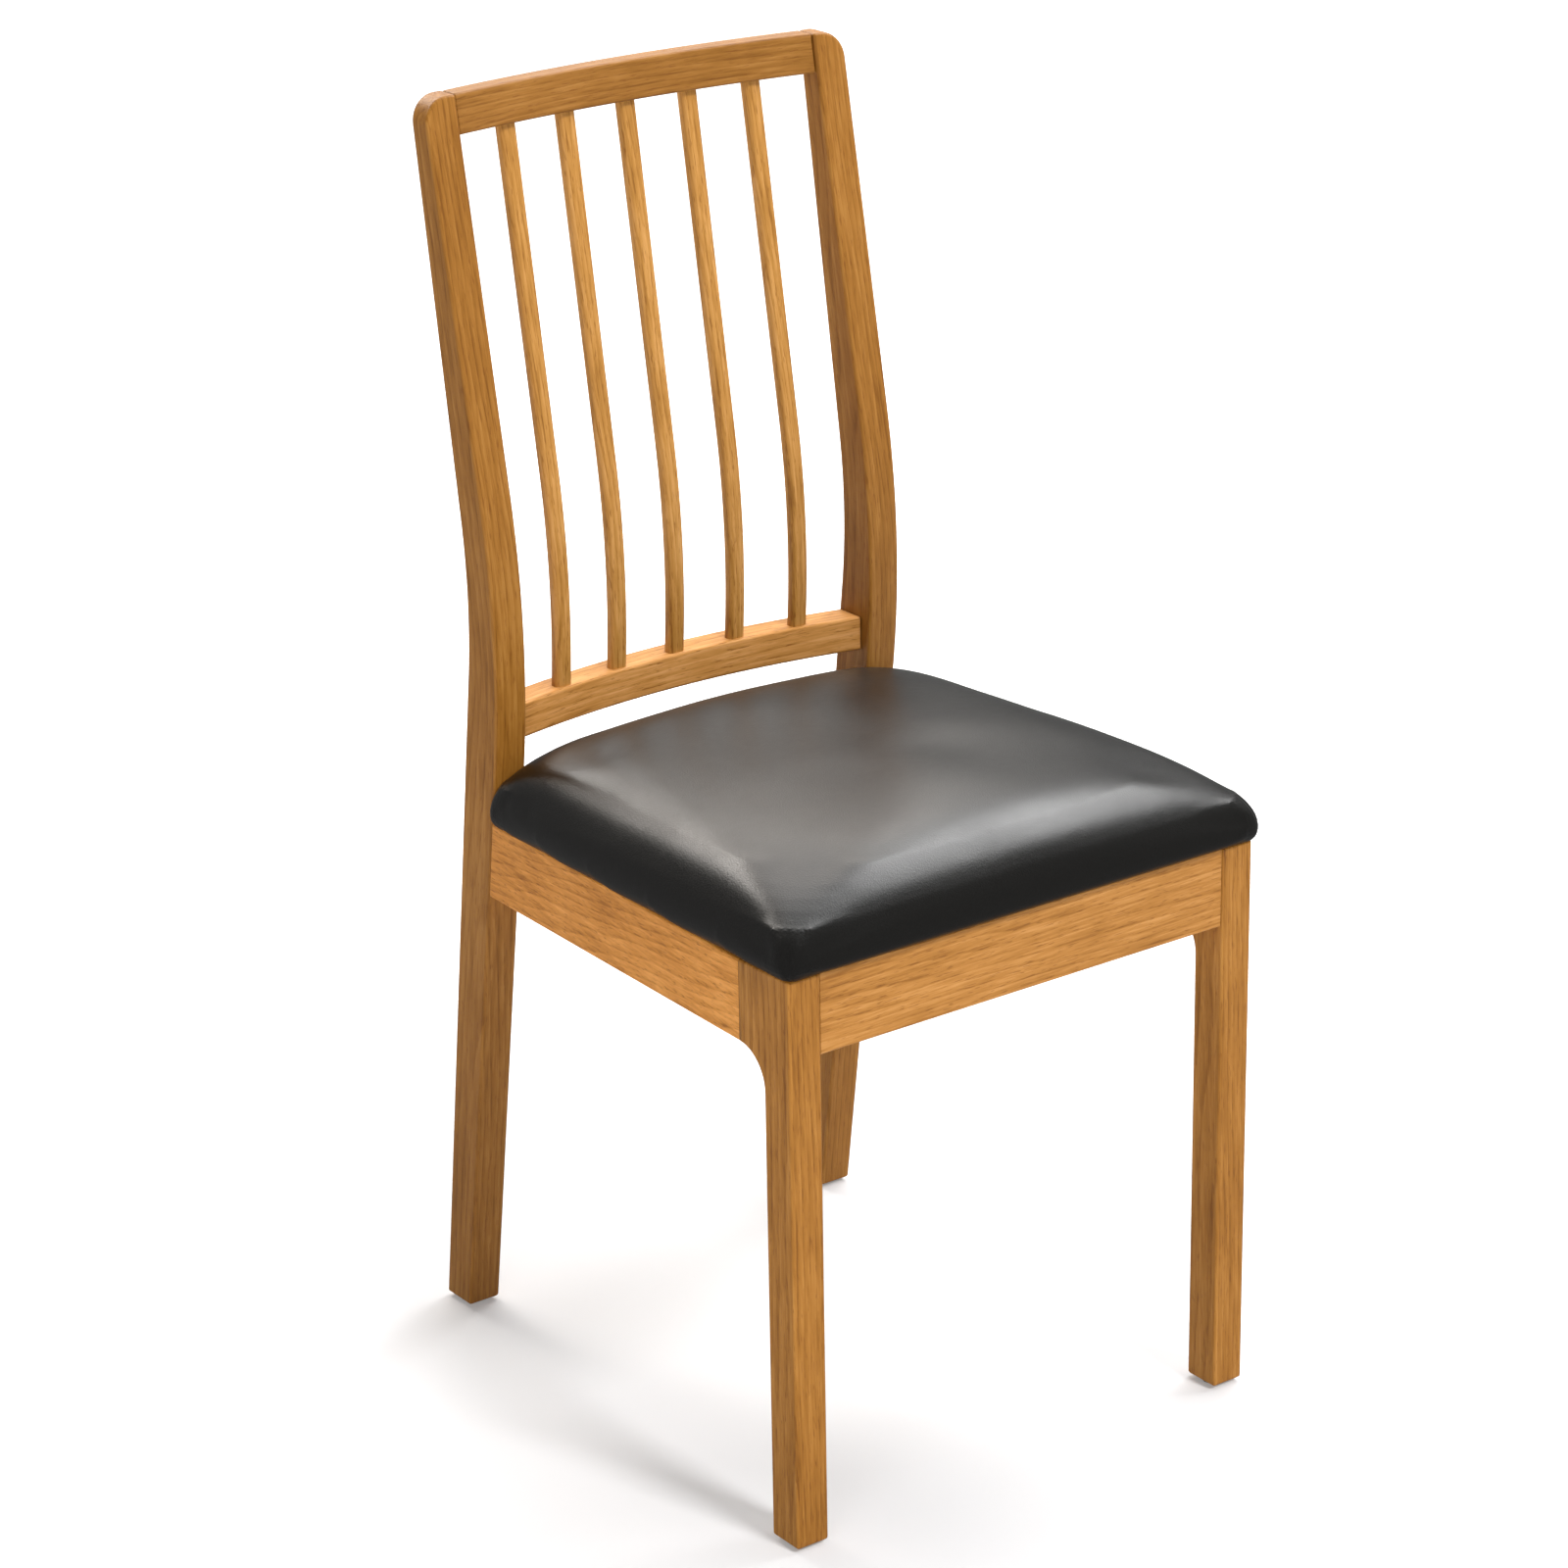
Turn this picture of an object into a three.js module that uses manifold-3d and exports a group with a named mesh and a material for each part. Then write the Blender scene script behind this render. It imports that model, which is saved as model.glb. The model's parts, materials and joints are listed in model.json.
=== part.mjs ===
// A dining chair: curved back posts, five bent spindles and an upholstered seat pad.
// Millimetres, +Z up, floor at z = 0, the chair's front towards -Y.
// While building, y = 0 is the front face of the front legs; the last group centres the chair.
// "left" is -X, as seen by someone facing the chair.

import * as THREE from 'three';
import { mergeVertices } from 'three/addons/utils/BufferGeometryUtils.js';
import Module from 'manifold-3d';

const wasm = await Module();
wasm.setup();

// ---------- driving sizes ----------
const HEIGHT = 950;             // floor to the top of the back
const FRONT_WIDTH = 412;        // over the outer faces of the front legs
const BACK_WIDTH = 368;         // over the outer faces of the back posts
const KNEE_Y = 373;             // foremost line of the back posts, from the front face
const SEAT_FRONT_Z = 434;       // top of the seat frame at its front
const SEAT_FALL = 0.03;         // how far the seat frame drops per mm towards the back
const GAP = 0.3;                // gap between pieces that touch
const SOFT_EDGE = 2;            // rounding of the long wooden edges

const LEG_WIDTH = 27;
const LEG_DEPTH = 30;
const LEG_HEAD_DEPTH = 57;      // the front leg widens to this beside the side apron
const COVE_RADIUS = 28;         // hollow curve under the leg's head

const POST_WIDTH = 27;
const POST_FOOT_DEPTH = 32;
const POST_KNEE_DEPTH = 38.5;
const POST_TOP_DEPTH = 19.5;
const FOOT_RAKE = 82;           // front edge of the foot, behind the knee
const TOP_RAKE = 71.5;          // front edge of the top, behind the knee
const KNEE_ABOVE_SEAT = 130;
const BACK_KNEE_RISE = 24;      // the back edge bends a little higher than the front edge
const KNEE_FRONT_RADIUS = 650;
const KNEE_BACK_RADIUS = 450;
const TOP_CORNER_RADIUS = 20;

const APRON_HEIGHT = 61;
const APRON_THICKNESS = 20;
const FRONT_APRON_SETBACK = 1.5;
const REAR_APRON_INSET = 2;     // behind the posts' front edges

const TOP_RAIL_HEIGHT = 29;
const TOP_RAIL_THICKNESS = 17;
const TOP_RAIL_SETBACK = 2;
const TOP_RAIL_BOW = 13;
const LOWER_RAIL_HEIGHT = 27;
const LOWER_RAIL_THICKNESS = 26;
const LOWER_RAIL_SETBACK = 7.8;
const LOWER_RAIL_BOW = 18.7;
const LOWER_RAIL_ABOVE_SEAT = 58.5;

const SPINDLE_COUNT = 5;
const SPINDLE_PITCH = 54;
const SPINDLE_WIDTH = 14;
const SPINDLE_THICKNESS = 10;
const SPINDLE_SETBACK = 5.5;    // behind the rails' front faces
const SPINDLE_SOFT_EDGE = 3;
const SPINDLE_TENON = 9;

const PAD_OVERHANG = 7;         // the pad swells this far past the seat frame
const PAD_EDGE_HEIGHT = 52;
const PAD_CROWN = 14;
const PAD_CORNER_RADIUS = 34;
const PAD_TOP_ROLL = 20;
const PAD_BOTTOM_ROLL = 8;
const PAD_REAR_BOW = 13;        // the pad's back edge swells this far between the posts
const PAD_TO_POST = 1.5;        // clearance between the pad's back and the posts
const COVER_THICKNESS = 1.2;
const HEM_WIDTH = 26;
const BOARD_THICKNESS = 9;
const BOARD_INSET = 12;
const LINING_THICKNESS = 0.8;
const LINING_MARGIN = 3;

const BLOCK_HEIGHT = 34;
const BLOCK_ALONG_APRON = 46;
const BLOCK_ALONG_SIDE = 34;
const BLOCK_FLAT = 12;          // the squared tips of a corner block
const BLOCK_BELOW_SEAT = 5;

const DOWEL_RADIUS = 4;
const DOWEL_LENGTH = 36;
const DOWEL_SPACING = 28;
const SLIM_DOWEL_RADIUS = 3;
const SHORT_DOWEL_LENGTH = 28;
const SHORT_DOWEL_IN_POST = 10;
const BOLT_RADIUS = 3;
const BOLT_LENGTH = 76;
const BOLT_HEAD_RADIUS = 5;
const BOLT_HEAD_HEIGHT = 5;
const BOLT_SOCKET_RADIUS = 2.4;
const BOLT_SOCKET_DEPTH = 2.5;
const BOLT_SINK = 3;            // the head sits this far below the post's back face
const BARREL_NUT_RADIUS = 5;
const BARREL_NUT_LENGTH = 13;
const BARREL_NUT_FROM_END = 14; // from the bolt's tip
const SCREW_RADIUS = 2.1;
const SCREW_HEAD_RADIUS = 4.5;
const SCREW_HEAD_HEIGHT = 2.6;
const SCREW_IN_BOARD = 7;
const GLIDE_HEIGHT = 3;         // the feet stand this far off the floor
const GLIDE_RADIUS = 10;
const GLIDE_CHAMFER = 0.8;
const GLIDE_PIN_RADIUS = 2;
const GLIDE_PIN_LENGTH = 14;

const ARC_STEPS = 6;
const ROLL_STEPS = 4;
const ROUND_SIDES = 12;

// ---------- materials ----------
const finishes = {
  oak: { color: 0xbe8749, roughness: 0.5, metalness: 0 },
  beech: { color: 0xd9b98c, roughness: 0.7, metalness: 0 },
  plywood: { color: 0xc9a676, roughness: 0.8, metalness: 0 },
  foam: { color: 0xe8dfc8, roughness: 0.95, metalness: 0 },
  leather: { color: 0x151413, roughness: 0.38, metalness: 0 },
  lining: { color: 0x222222, roughness: 0.95, metalness: 0 },
  steel: { color: 0x9a9c9e, roughness: 0.35, metalness: 1 },
  plastic: { color: 0x2a2826, roughness: 0.6, metalness: 0 },
};

// ---------- geometry helpers ----------
function solidOf(geometry) {
  const bare = geometry.index ? geometry.toNonIndexed() : geometry.clone();
  bare.deleteAttribute('normal');
  bare.deleteAttribute('uv');
  const merged = mergeVertices(bare, 1e-3);
  return new wasm.Manifold(new wasm.Mesh({
    numProp: 3,
    vertProperties: merged.attributes.position.array,
    triVerts: Uint32Array.from(merged.index.array),
  }));
}

function geometryOf(solid) {
  const mesh = solid.getMesh();
  const geometry = new THREE.BufferGeometry();
  geometry.setAttribute('position', new THREE.BufferAttribute(mesh.vertProperties, mesh.numProp));
  geometry.setIndex(new THREE.BufferAttribute(mesh.triVerts, 1));
  geometry.computeVertexNormals();
  return geometry;
}

function subtract(geometry, cutters) {
  return geometryOf(cutters.reduce((solid, cutter) => solid.subtract(solidOf(cutter)), solidOf(geometry)));
}

function intersect(first, second) {
  return geometryOf(solidOf(first).intersect(solidOf(second)));
}

const X = new THREE.Vector3(1, 0, 0);
const Y = new THREE.Vector3(0, 1, 0);
const Z = new THREE.Vector3(0, 0, 1);
const sideToChair = new THREE.Matrix4().makeBasis(Y, Z, X);
const frontToChair = new THREE.Matrix4().makeBasis(X, Z, Y.clone().negate());

function extrude(shape, from, to, edge) {
  const geometry = new THREE.ExtrudeGeometry(shape, {
    depth: to - from - 2 * edge,
    curveSegments: ARC_STEPS,
    bevelEnabled: edge > 0,
    bevelThickness: edge,
    bevelSize: edge,
    bevelOffset: -edge,
    bevelSegments: 2,
  });
  return geometry.translate(0, 0, from + edge);
}

// A side view (y, z) given thickness along X.
function fromSide(points, xFrom, xTo, edge = SOFT_EDGE) {
  const shape = new THREE.Shape(points.map(([y, z]) => new THREE.Vector2(y, z)));
  return extrude(shape, xFrom, xTo, edge).applyMatrix4(sideToChair);
}

// A plan view (x, y) given height along Z.
function fromPlan(points, zFrom, zTo, edge = SOFT_EDGE) {
  const shape = new THREE.Shape(points.map(([x, y]) => new THREE.Vector2(x, y)));
  return extrude(shape, zFrom, zTo, edge);
}

function shear(geometry, slopes) {
  const { yx = 0, zy = 0, y0 = 0, z0 = 0 } = slopes;
  const matrix = new THREE.Matrix4().set(
    1, yx, 0, -yx * y0,
    0, 1, zy, -zy * z0,
    0, 0, 1, 0,
    0, 0, 0, 1,
  );
  return geometry.applyMatrix4(matrix);
}

const turns = {
  x: new THREE.Matrix4().makeRotationZ(-Math.PI / 2),
  y: new THREE.Matrix4(),
  z: new THREE.Matrix4().makeRotationX(Math.PI / 2),
};

// Round pieces are drawn about their own +Y, then turned onto an axis and moved into place.
function place(geometry, axis, [x, y, z]) {
  return geometry.applyMatrix4(turns[axis]).translate(x, y, z);
}

function rod(radius, length) {
  return new THREE.CylinderGeometry(radius, radius, length, ROUND_SIDES);
}

function turned(profile) {
  const points = profile.map(([radius, along]) => new THREE.Vector2(radius, along));
  return new THREE.LatheGeometry(points, ROUND_SIDES);
}

// ---------- lines that several pieces share ----------
const seatZ = (y) => SEAT_FRONT_Z - SEAT_FALL * y;
const KNEE_Z = SEAT_FRONT_Z + KNEE_ABOVE_SEAT;

// An edge that is straight from the foot to a knee and from the knee to the top, the knee rounded.
function bentEdge(foot, knee, top, radius) {
  const below = (knee.y - foot.y) / (knee.z - foot.z);
  const above = (top.y - knee.y) / (top.z - knee.z);
  const angleBelow = Math.atan(below);
  const angleAbove = Math.atan(above);
  const tangent = radius * Math.tan((angleAbove - angleBelow) / 2);
  const startZ = knee.z - tangent * Math.cos(angleBelow);
  const endZ = knee.z + tangent * Math.cos(angleAbove);
  const centreY = knee.y + below * (startZ - knee.z) + radius * Math.cos(angleBelow);
  const centreZ = startZ - radius * Math.sin(angleBelow);
  const at = (z) => {
    if (z <= startZ) return knee.y + below * (z - knee.z);
    if (z >= endZ) return knee.y + above * (z - knee.z);
    return centreY - Math.sqrt(radius ** 2 - (z - centreZ) ** 2);
  };
  return { at, startZ, endZ, slopeAbove: above };
}

const postFront = bentEdge(
  { y: KNEE_Y + FOOT_RAKE, z: 0 },
  { y: KNEE_Y, z: KNEE_Z },
  { y: KNEE_Y + TOP_RAKE, z: HEIGHT },
  KNEE_FRONT_RADIUS,
);
const postBack = bentEdge(
  { y: KNEE_Y + FOOT_RAKE + POST_FOOT_DEPTH, z: 0 },
  { y: KNEE_Y + POST_KNEE_DEPTH, z: KNEE_Z + BACK_KNEE_RISE },
  { y: KNEE_Y + TOP_RAKE + POST_TOP_DEPTH, z: HEIGHT },
  KNEE_BACK_RADIUS,
);

const legOuterX = FRONT_WIDTH / 2;
const legInnerX = legOuterX - LEG_WIDTH;
const postOuterX = BACK_WIDTH / 2;
const postInnerX = postOuterX - POST_WIDTH;
const railHalfLength = postInnerX - GAP;

const apronRearY = postFront.at(seatZ(KNEE_Y));
const sideLean = (legOuterX - postOuterX) / (apronRearY - LEG_HEAD_DEPTH);
const sideOuterX = (y) => legOuterX - sideLean * (y - LEG_HEAD_DEPTH);
const sideInnerX = (y) => sideOuterX(y) - APRON_THICKNESS;
const apronBottomZ = (y) => seatZ(y) - APRON_HEIGHT;
const frontApronInnerY = FRONT_APRON_SETBACK + APRON_THICKNESS;
const rearApronAt = (z) => postFront.at(z) + REAR_APRON_INSET;

const lowerRailZ = seatZ(KNEE_Y) + LOWER_RAIL_ABOVE_SEAT;
const lowerRailTopZ = lowerRailZ + LOWER_RAIL_HEIGHT;
const topRailZ = HEIGHT - TOP_RAIL_HEIGHT;
const lowerRailY = postFront.at(lowerRailZ) + LOWER_RAIL_SETBACK;
const topRailY = postFront.at(topRailZ) + TOP_RAIL_SETBACK;

// The plan curve of a bowed rail's front face, at x from the middle.
const bowAt = (bow, x) => bow * (1 - (x / railHalfLength) ** 2);

// ---------- the wooden frame, before drilling ----------
function edgeHeights(edge, from, to) {
  const heights = [from];
  for (let i = 0; i <= ARC_STEPS; i += 1) {
    heights.push(edge.startZ + (edge.endZ - edge.startZ) * i / ARC_STEPS);
  }
  return [...heights, to];
}

function backPost(side) {
  const front = edgeHeights(postFront, GLIDE_HEIGHT, HEIGHT).map((z) => [postFront.at(z), z]);
  const back = edgeHeights(postBack, GLIDE_HEIGHT, HEIGHT).map((z) => [postBack.at(z), z]);
  const centreX = side * (postOuterX - POST_WIDTH / 2);
  const bar = fromSide([...front, ...back.reverse()], centreX - POST_WIDTH / 2, centreX + POST_WIDTH / 2);
  return intersect(bar, backOutline());
}

// The whole back seen from the front, its two top corners rounded.
function backOutline() {
  const shape = new THREE.Shape();
  shape.moveTo(-postOuterX, 0);
  shape.lineTo(postOuterX, 0);
  shape.lineTo(postOuterX, HEIGHT - TOP_CORNER_RADIUS);
  shape.absarc(postOuterX - TOP_CORNER_RADIUS, HEIGHT - TOP_CORNER_RADIUS, TOP_CORNER_RADIUS, 0, Math.PI / 2);
  shape.absarc(TOP_CORNER_RADIUS - postOuterX, HEIGHT - TOP_CORNER_RADIUS, TOP_CORNER_RADIUS,
    Math.PI / 2, Math.PI);
  const behindEverything = 2 * (KNEE_Y + FOOT_RAKE);
  return extrude(shape, -behindEverything, 0, 0).applyMatrix4(frontToChair);
}

function frontLeg(side) {
  const headBottomZ = apronBottomZ(LEG_HEAD_DEPTH);
  const coveDepth = LEG_HEAD_DEPTH - LEG_DEPTH;
  const reach = Math.acos(1 - coveDepth / COVE_RADIUS);
  const cove = [];
  for (let i = 0; i <= ARC_STEPS; i += 1) {
    const angle = reach * i / ARC_STEPS;
    cove.push([
      LEG_DEPTH + COVE_RADIUS * (1 - Math.cos(angle)),
      headBottomZ - COVE_RADIUS * (Math.sin(reach) - Math.sin(angle)),
    ]);
  }
  const outline = [
    [0, GLIDE_HEIGHT],
    [LEG_DEPTH, GLIDE_HEIGHT],
    ...cove,
    [LEG_HEAD_DEPTH, seatZ(LEG_HEAD_DEPTH)],
    [0, seatZ(0)],
  ];
  const centreX = side * (legOuterX - LEG_WIDTH / 2);
  return fromSide(outline, centreX - LEG_WIDTH / 2, centreX + LEG_WIDTH / 2);
}

function frontApron() {
  const y0 = FRONT_APRON_SETBACK;
  const y1 = frontApronInnerY;
  const bottom = apronBottomZ(0);
  const section = [[y0, bottom], [y1, bottom], [y1, seatZ(y1)], [y0, seatZ(y0)]];
  return fromSide(section, GAP - legInnerX, legInnerX - GAP, 0);
}

// The rear apron leans with the posts.
function rearApron() {
  const bottom = apronBottomZ(KNEE_Y);
  const top = seatZ(apronRearY);
  const corner = (z, depth) => [rearApronAt(z) + depth, z];
  const section = [
    corner(bottom, 0),
    corner(bottom, APRON_THICKNESS),
    corner(top - SEAT_FALL * APRON_THICKNESS, APRON_THICKNESS),
    corner(top, 0),
  ];
  return fromSide(section, -railHalfLength, railHalfLength, 0);
}

// Drawn straight, then leaned inwards towards the narrower back.
function sideApron(side) {
  const y0 = LEG_HEAD_DEPTH + GAP;
  const topRear = postFront.at(seatZ(KNEE_Y)) - GAP;
  const bottomRear = postFront.at(apronBottomZ(KNEE_Y)) - GAP;
  const outline = [
    [y0, apronBottomZ(y0)],
    [bottomRear, apronBottomZ(bottomRear)],
    [topRear, seatZ(topRear)],
    [y0, seatZ(y0)],
  ];
  const centreX = side * (legOuterX - APRON_THICKNESS / 2);
  const bar = fromSide(outline, centreX - APRON_THICKNESS / 2, centreX + APRON_THICKNESS / 2);
  return shear(bar, { yx: -side * sideLean, y0: LEG_HEAD_DEPTH });
}

function bowedPlan(bow, thickness, y) {
  const steps = 2 * ARC_STEPS;
  const front = [];
  for (let i = 0; i <= steps; i += 1) {
    const x = railHalfLength * (2 * i / steps - 1);
    front.push([x, y + bowAt(bow, x)]);
  }
  const back = front.map(([x, frontY]) => [x, frontY + thickness]).reverse();
  return [...front, ...back];
}

function topRail() {
  const plan = bowedPlan(TOP_RAIL_BOW, TOP_RAIL_THICKNESS, topRailY);
  const bar = fromPlan(plan, topRailZ, HEIGHT);
  return shear(bar, { zy: postFront.slopeAbove, z0: topRailZ });
}

function lowerRail() {
  const plan = bowedPlan(LOWER_RAIL_BOW, LOWER_RAIL_THICKNESS, lowerRailY);
  return fromPlan(plan, lowerRailZ, lowerRailTopZ);
}

// A spindle follows the posts' bend and stands in pockets in both rails.
function spindle(x, clearance) {
  const from = lowerRailTopZ - SPINDLE_TENON - 2 * clearance;
  const to = topRailZ + SPINDLE_TENON + 2 * clearance;
  const lowOffset = LOWER_RAIL_SETBACK + bowAt(LOWER_RAIL_BOW, x);
  const highOffset = TOP_RAIL_SETBACK + bowAt(TOP_RAIL_BOW, x);
  const frontAt = (z) => {
    const share = (z - from) / (to - from);
    return postFront.at(z) + lowOffset + (highOffset - lowOffset) * share + SPINDLE_SETBACK;
  };
  const bendStart = Math.max(from + SPINDLE_TENON, postFront.startZ);
  const heights = edgeHeights({ startZ: bendStart, endZ: postFront.endZ }, from, to);
  const front = heights.map((z) => [frontAt(z) - clearance, z]);
  const back = heights.map((z) => [frontAt(z) + SPINDLE_THICKNESS + clearance, z]).reverse();
  const half = SPINDLE_WIDTH / 2 + clearance;
  return fromSide([...front, ...back], x - half, x + half, clearance > 0 ? 0 : SPINDLE_SOFT_EDGE);
}

function spindleX(index) {
  return (index - (SPINDLE_COUNT - 1) / 2) * SPINDLE_PITCH;
}

const blockTopZ = (y) => seatZ(y) - BLOCK_BELOW_SEAT;
const rearBlockY = rearApronAt(blockTopZ(apronRearY)) - GAP;

// Glue blocks fill the four inner corners of the seat frame.
function frontBlock(side) {
  const x = legInnerX - GAP;
  const y = frontApronInnerY + GAP;
  const along = Math.min(BLOCK_ALONG_SIDE, LEG_HEAD_DEPTH - y);
  const plan = [
    [x, y],
    [x, y + along],
    [x - BLOCK_FLAT, y + along],
    [x - BLOCK_ALONG_APRON, y + BLOCK_FLAT],
    [x - BLOCK_ALONG_APRON, y],
  ];
  const top = blockTopZ(y + along);
  return fromPlan(plan.map(([px, py]) => [side * px, py]), top - BLOCK_HEIGHT, top, 0);
}

function rearBlock(side) {
  const y = rearBlockY;
  const postY = y - REAR_APRON_INSET;
  const frontY = y - BLOCK_ALONG_APRON;
  const innerX = railHalfLength - GAP;
  const plan = [
    [sideInnerX(frontY) - GAP, frontY],
    [sideInnerX(postY) - GAP, postY],
    [innerX, postY],
    [innerX, y],
    [innerX - BLOCK_ALONG_APRON, y],
    [innerX - BLOCK_ALONG_APRON, y - BLOCK_FLAT],
    [sideInnerX(frontY) - GAP - BLOCK_FLAT, frontY],
  ];
  const top = blockTopZ(y);
  return fromPlan(plan.map(([px, py]) => [side * px, py]), top - BLOCK_HEIGHT, top, 0);
}

// ---------- the seat pad ----------
const padFrontY = -PAD_OVERHANG;
const padRearY = postFront.at(seatZ(KNEE_Y) + PAD_EDGE_HEIGHT) - PAD_TO_POST;
const padBottom = GAP;
const boardBottom = padBottom + COVER_THICKNESS + GAP;
const boardTop = boardBottom + BOARD_THICKNESS;

// The pad's outline in plan, moved inwards by inset: a trapezium with round corners.
function padOutline(inset) {
  const y0 = padFrontY + inset;
  const y1 = padRearY - inset;
  const x0 = FRONT_WIDTH / 2 + PAD_OVERHANG - inset;
  const x1 = BACK_WIDTH / 2 + PAD_OVERHANG - inset;
  const radius = Math.max(PAD_CORNER_RADIUS - inset, SOFT_EDGE);
  const corners = [[-x0, y0], [x0, y0], [x1, y1], [-x1, y1]].map(([x, y]) => new THREE.Vector2(x, y));
  const shape = new THREE.Shape();
  corners.forEach((corner, i) => {
    const before = corners[(i + corners.length - 1) % corners.length];
    const after = corners[(i + 1) % corners.length];
    const start = corner.clone().add(before.clone().sub(corner).setLength(radius));
    const end = corner.clone().add(after.clone().sub(corner).setLength(radius));
    if (i === 0) {
      shape.moveTo(start.x, start.y);
    } else if (i === corners.length - 1) {
      shape.quadraticCurveTo(0, start.y + 2 * PAD_REAR_BOW, start.x, start.y);
    } else {
      shape.lineTo(start.x, start.y);
    }
    shape.quadraticCurveTo(corner.x, corner.y, end.x, end.y);
  });
  return shape;
}

function rolledSlab(inset, from, to, roll) {
  const geometry = new THREE.ExtrudeGeometry(padOutline(inset), {
    depth: to - from - 2 * roll,
    curveSegments: ARC_STEPS,
    bevelThickness: roll,
    bevelSize: roll,
    bevelOffset: -roll,
    bevelSegments: ROLL_STEPS,
  });
  return solidOf(geometry.translate(0, 0, from + roll));
}

// A shallow round crown on top of the pad.
function crown(inset) {
  const reach = Math.min(BACK_WIDTH, padRearY - padFrontY) / 2 - PAD_TOP_ROLL;
  const base = PAD_EDGE_HEIGHT - inset;
  const profile = [[0, base - PAD_CROWN]];
  for (let i = 0; i <= ROLL_STEPS; i += 1) {
    const share = 1 - i / ROLL_STEPS;
    profile.push([reach * share, base + PAD_CROWN * (1 - share ** 2) - GAP]);
  }
  const points = profile.map(([radius, height]) => new THREE.Vector2(radius, height));
  points.splice(1, 0, new THREE.Vector2(reach, base - PAD_CROWN));
  const dome = new THREE.LatheGeometry(points, 2 * ROUND_SIDES).applyMatrix4(turns.z);
  return solidOf(dome.translate(0, (padFrontY + padRearY) / 2, 0));
}

// The stuffed form down to a level underside, at a distance inside the pad's outer surface.
function pillow(inset, bottom) {
  const top = PAD_EDGE_HEIGHT - inset;
  const upper = rolledSlab(inset, bottom - 3 * PAD_TOP_ROLL, top, PAD_TOP_ROLL);
  const lower = rolledSlab(inset, bottom, top + 3 * PAD_BOTTOM_ROLL, PAD_BOTTOM_ROLL);
  return upper.intersect(lower).add(crown(inset));
}

function tilt(geometry) {
  return geometry.rotateX(-Math.atan(SEAT_FALL)).translate(0, 0, SEAT_FRONT_Z);
}

function seatCover() {
  const window = solidOf(extrude(padOutline(HEM_WIDTH), padBottom - GAP, boardTop, 0));
  const outer = pillow(0, padBottom);
  const inner = pillow(COVER_THICKNESS, padBottom + COVER_THICKNESS);
  return tilt(geometryOf(outer.subtract(inner).subtract(window)));
}

function seatFoam() {
  return tilt(geometryOf(pillow(COVER_THICKNESS + GAP, boardTop + GAP)));
}

function seatBoard() {
  return tilt(extrude(padOutline(BOARD_INSET), boardBottom, boardTop, 0));
}

// The cloth that closes the seat from below lies inside the seat frame.
function seatLining() {
  const y0 = frontApronInnerY + LINING_MARGIN;
  const y1 = apronRearY - LINING_MARGIN;
  const y2 = LEG_HEAD_DEPTH + LINING_MARGIN;
  const x0 = legInnerX - LINING_MARGIN;
  const x1 = postInnerX - LINING_MARGIN;
  const right = [[x0, y0], [x0, y2], [x1, y1]];
  const left = right.map(([x, y]) => [-x, y]).reverse();
  return tilt(fromPlan([...right, ...left], -LINING_THICKNESS, 0, 0));
}

// ---------- fixings: each knows its own solid, the hole it needs and what it joins ----------
const fixings = [];

function addFixing(name, finish, joins, geometry, hole) {
  fixings.push({ name, finish, joins, geometry, hole });
}

function addDowel(name, joins, axis, centre, radius = DOWEL_RADIUS, length = DOWEL_LENGTH) {
  const body = place(rod(radius, length), axis, centre);
  const hole = place(rod(radius + GAP, length + 2 * GAP), axis, centre);
  addFixing(name, 'beech', joins, body, hole);
}

function addFrontJoints(side, word) {
  const leg = `front_leg_${word}`;
  const middleZ = seatZ(0) - APRON_HEIGHT / 2;
  const sideX = side * (legOuterX - APRON_THICKNESS / 2);
  [['upper', 1], ['lower', -1]].forEach(([level, up]) => {
    const z = middleZ + up * DOWEL_SPACING / 2;
    const frontAt = [side * legInnerX, FRONT_APRON_SETBACK + APRON_THICKNESS / 2, z];
    addDowel(`dowel_front_apron_${word}_${level}`, [leg, 'front_apron'], 'x', frontAt);
    const sideAt = [sideX, LEG_HEAD_DEPTH, z];
    addDowel(`dowel_side_apron_${word}_${level}`, [leg, `side_apron_${word}`], 'y', sideAt);
  });
}

function addRearJoints(side, word) {
  const post = `back_post_${word}`;
  const shortShift = SHORT_DOWEL_LENGTH / 2 - SHORT_DOWEL_IN_POST;
  const middleZ = seatZ(KNEE_Y) - APRON_HEIGHT / 2;
  const jointX = side * (postInnerX - shortShift);
  [['upper', 1], ['lower', -1]].forEach(([level, up]) => {
    const z = middleZ + up * DOWEL_SPACING / 2;
    const at = [jointX, rearApronAt(z) + APRON_THICKNESS / 2, z];
    addDowel(`dowel_rear_apron_${word}_${level}`, [post, 'rear_apron'], 'x', at, DOWEL_RADIUS,
      SHORT_DOWEL_LENGTH);
  });
  const sideX = side * (sideOuterX(apronRearY) - APRON_THICKNESS / 2);
  const dowelZ = middleZ - DOWEL_SPACING / 2;
  addDowel(`dowel_side_apron_rear_${word}`, [post, `side_apron_${word}`], 'y',
    [sideX, postFront.at(dowelZ), dowelZ], DOWEL_RADIUS, SHORT_DOWEL_LENGTH);
  addBolt(word, sideX, middleZ + DOWEL_SPACING / 2);
}

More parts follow.
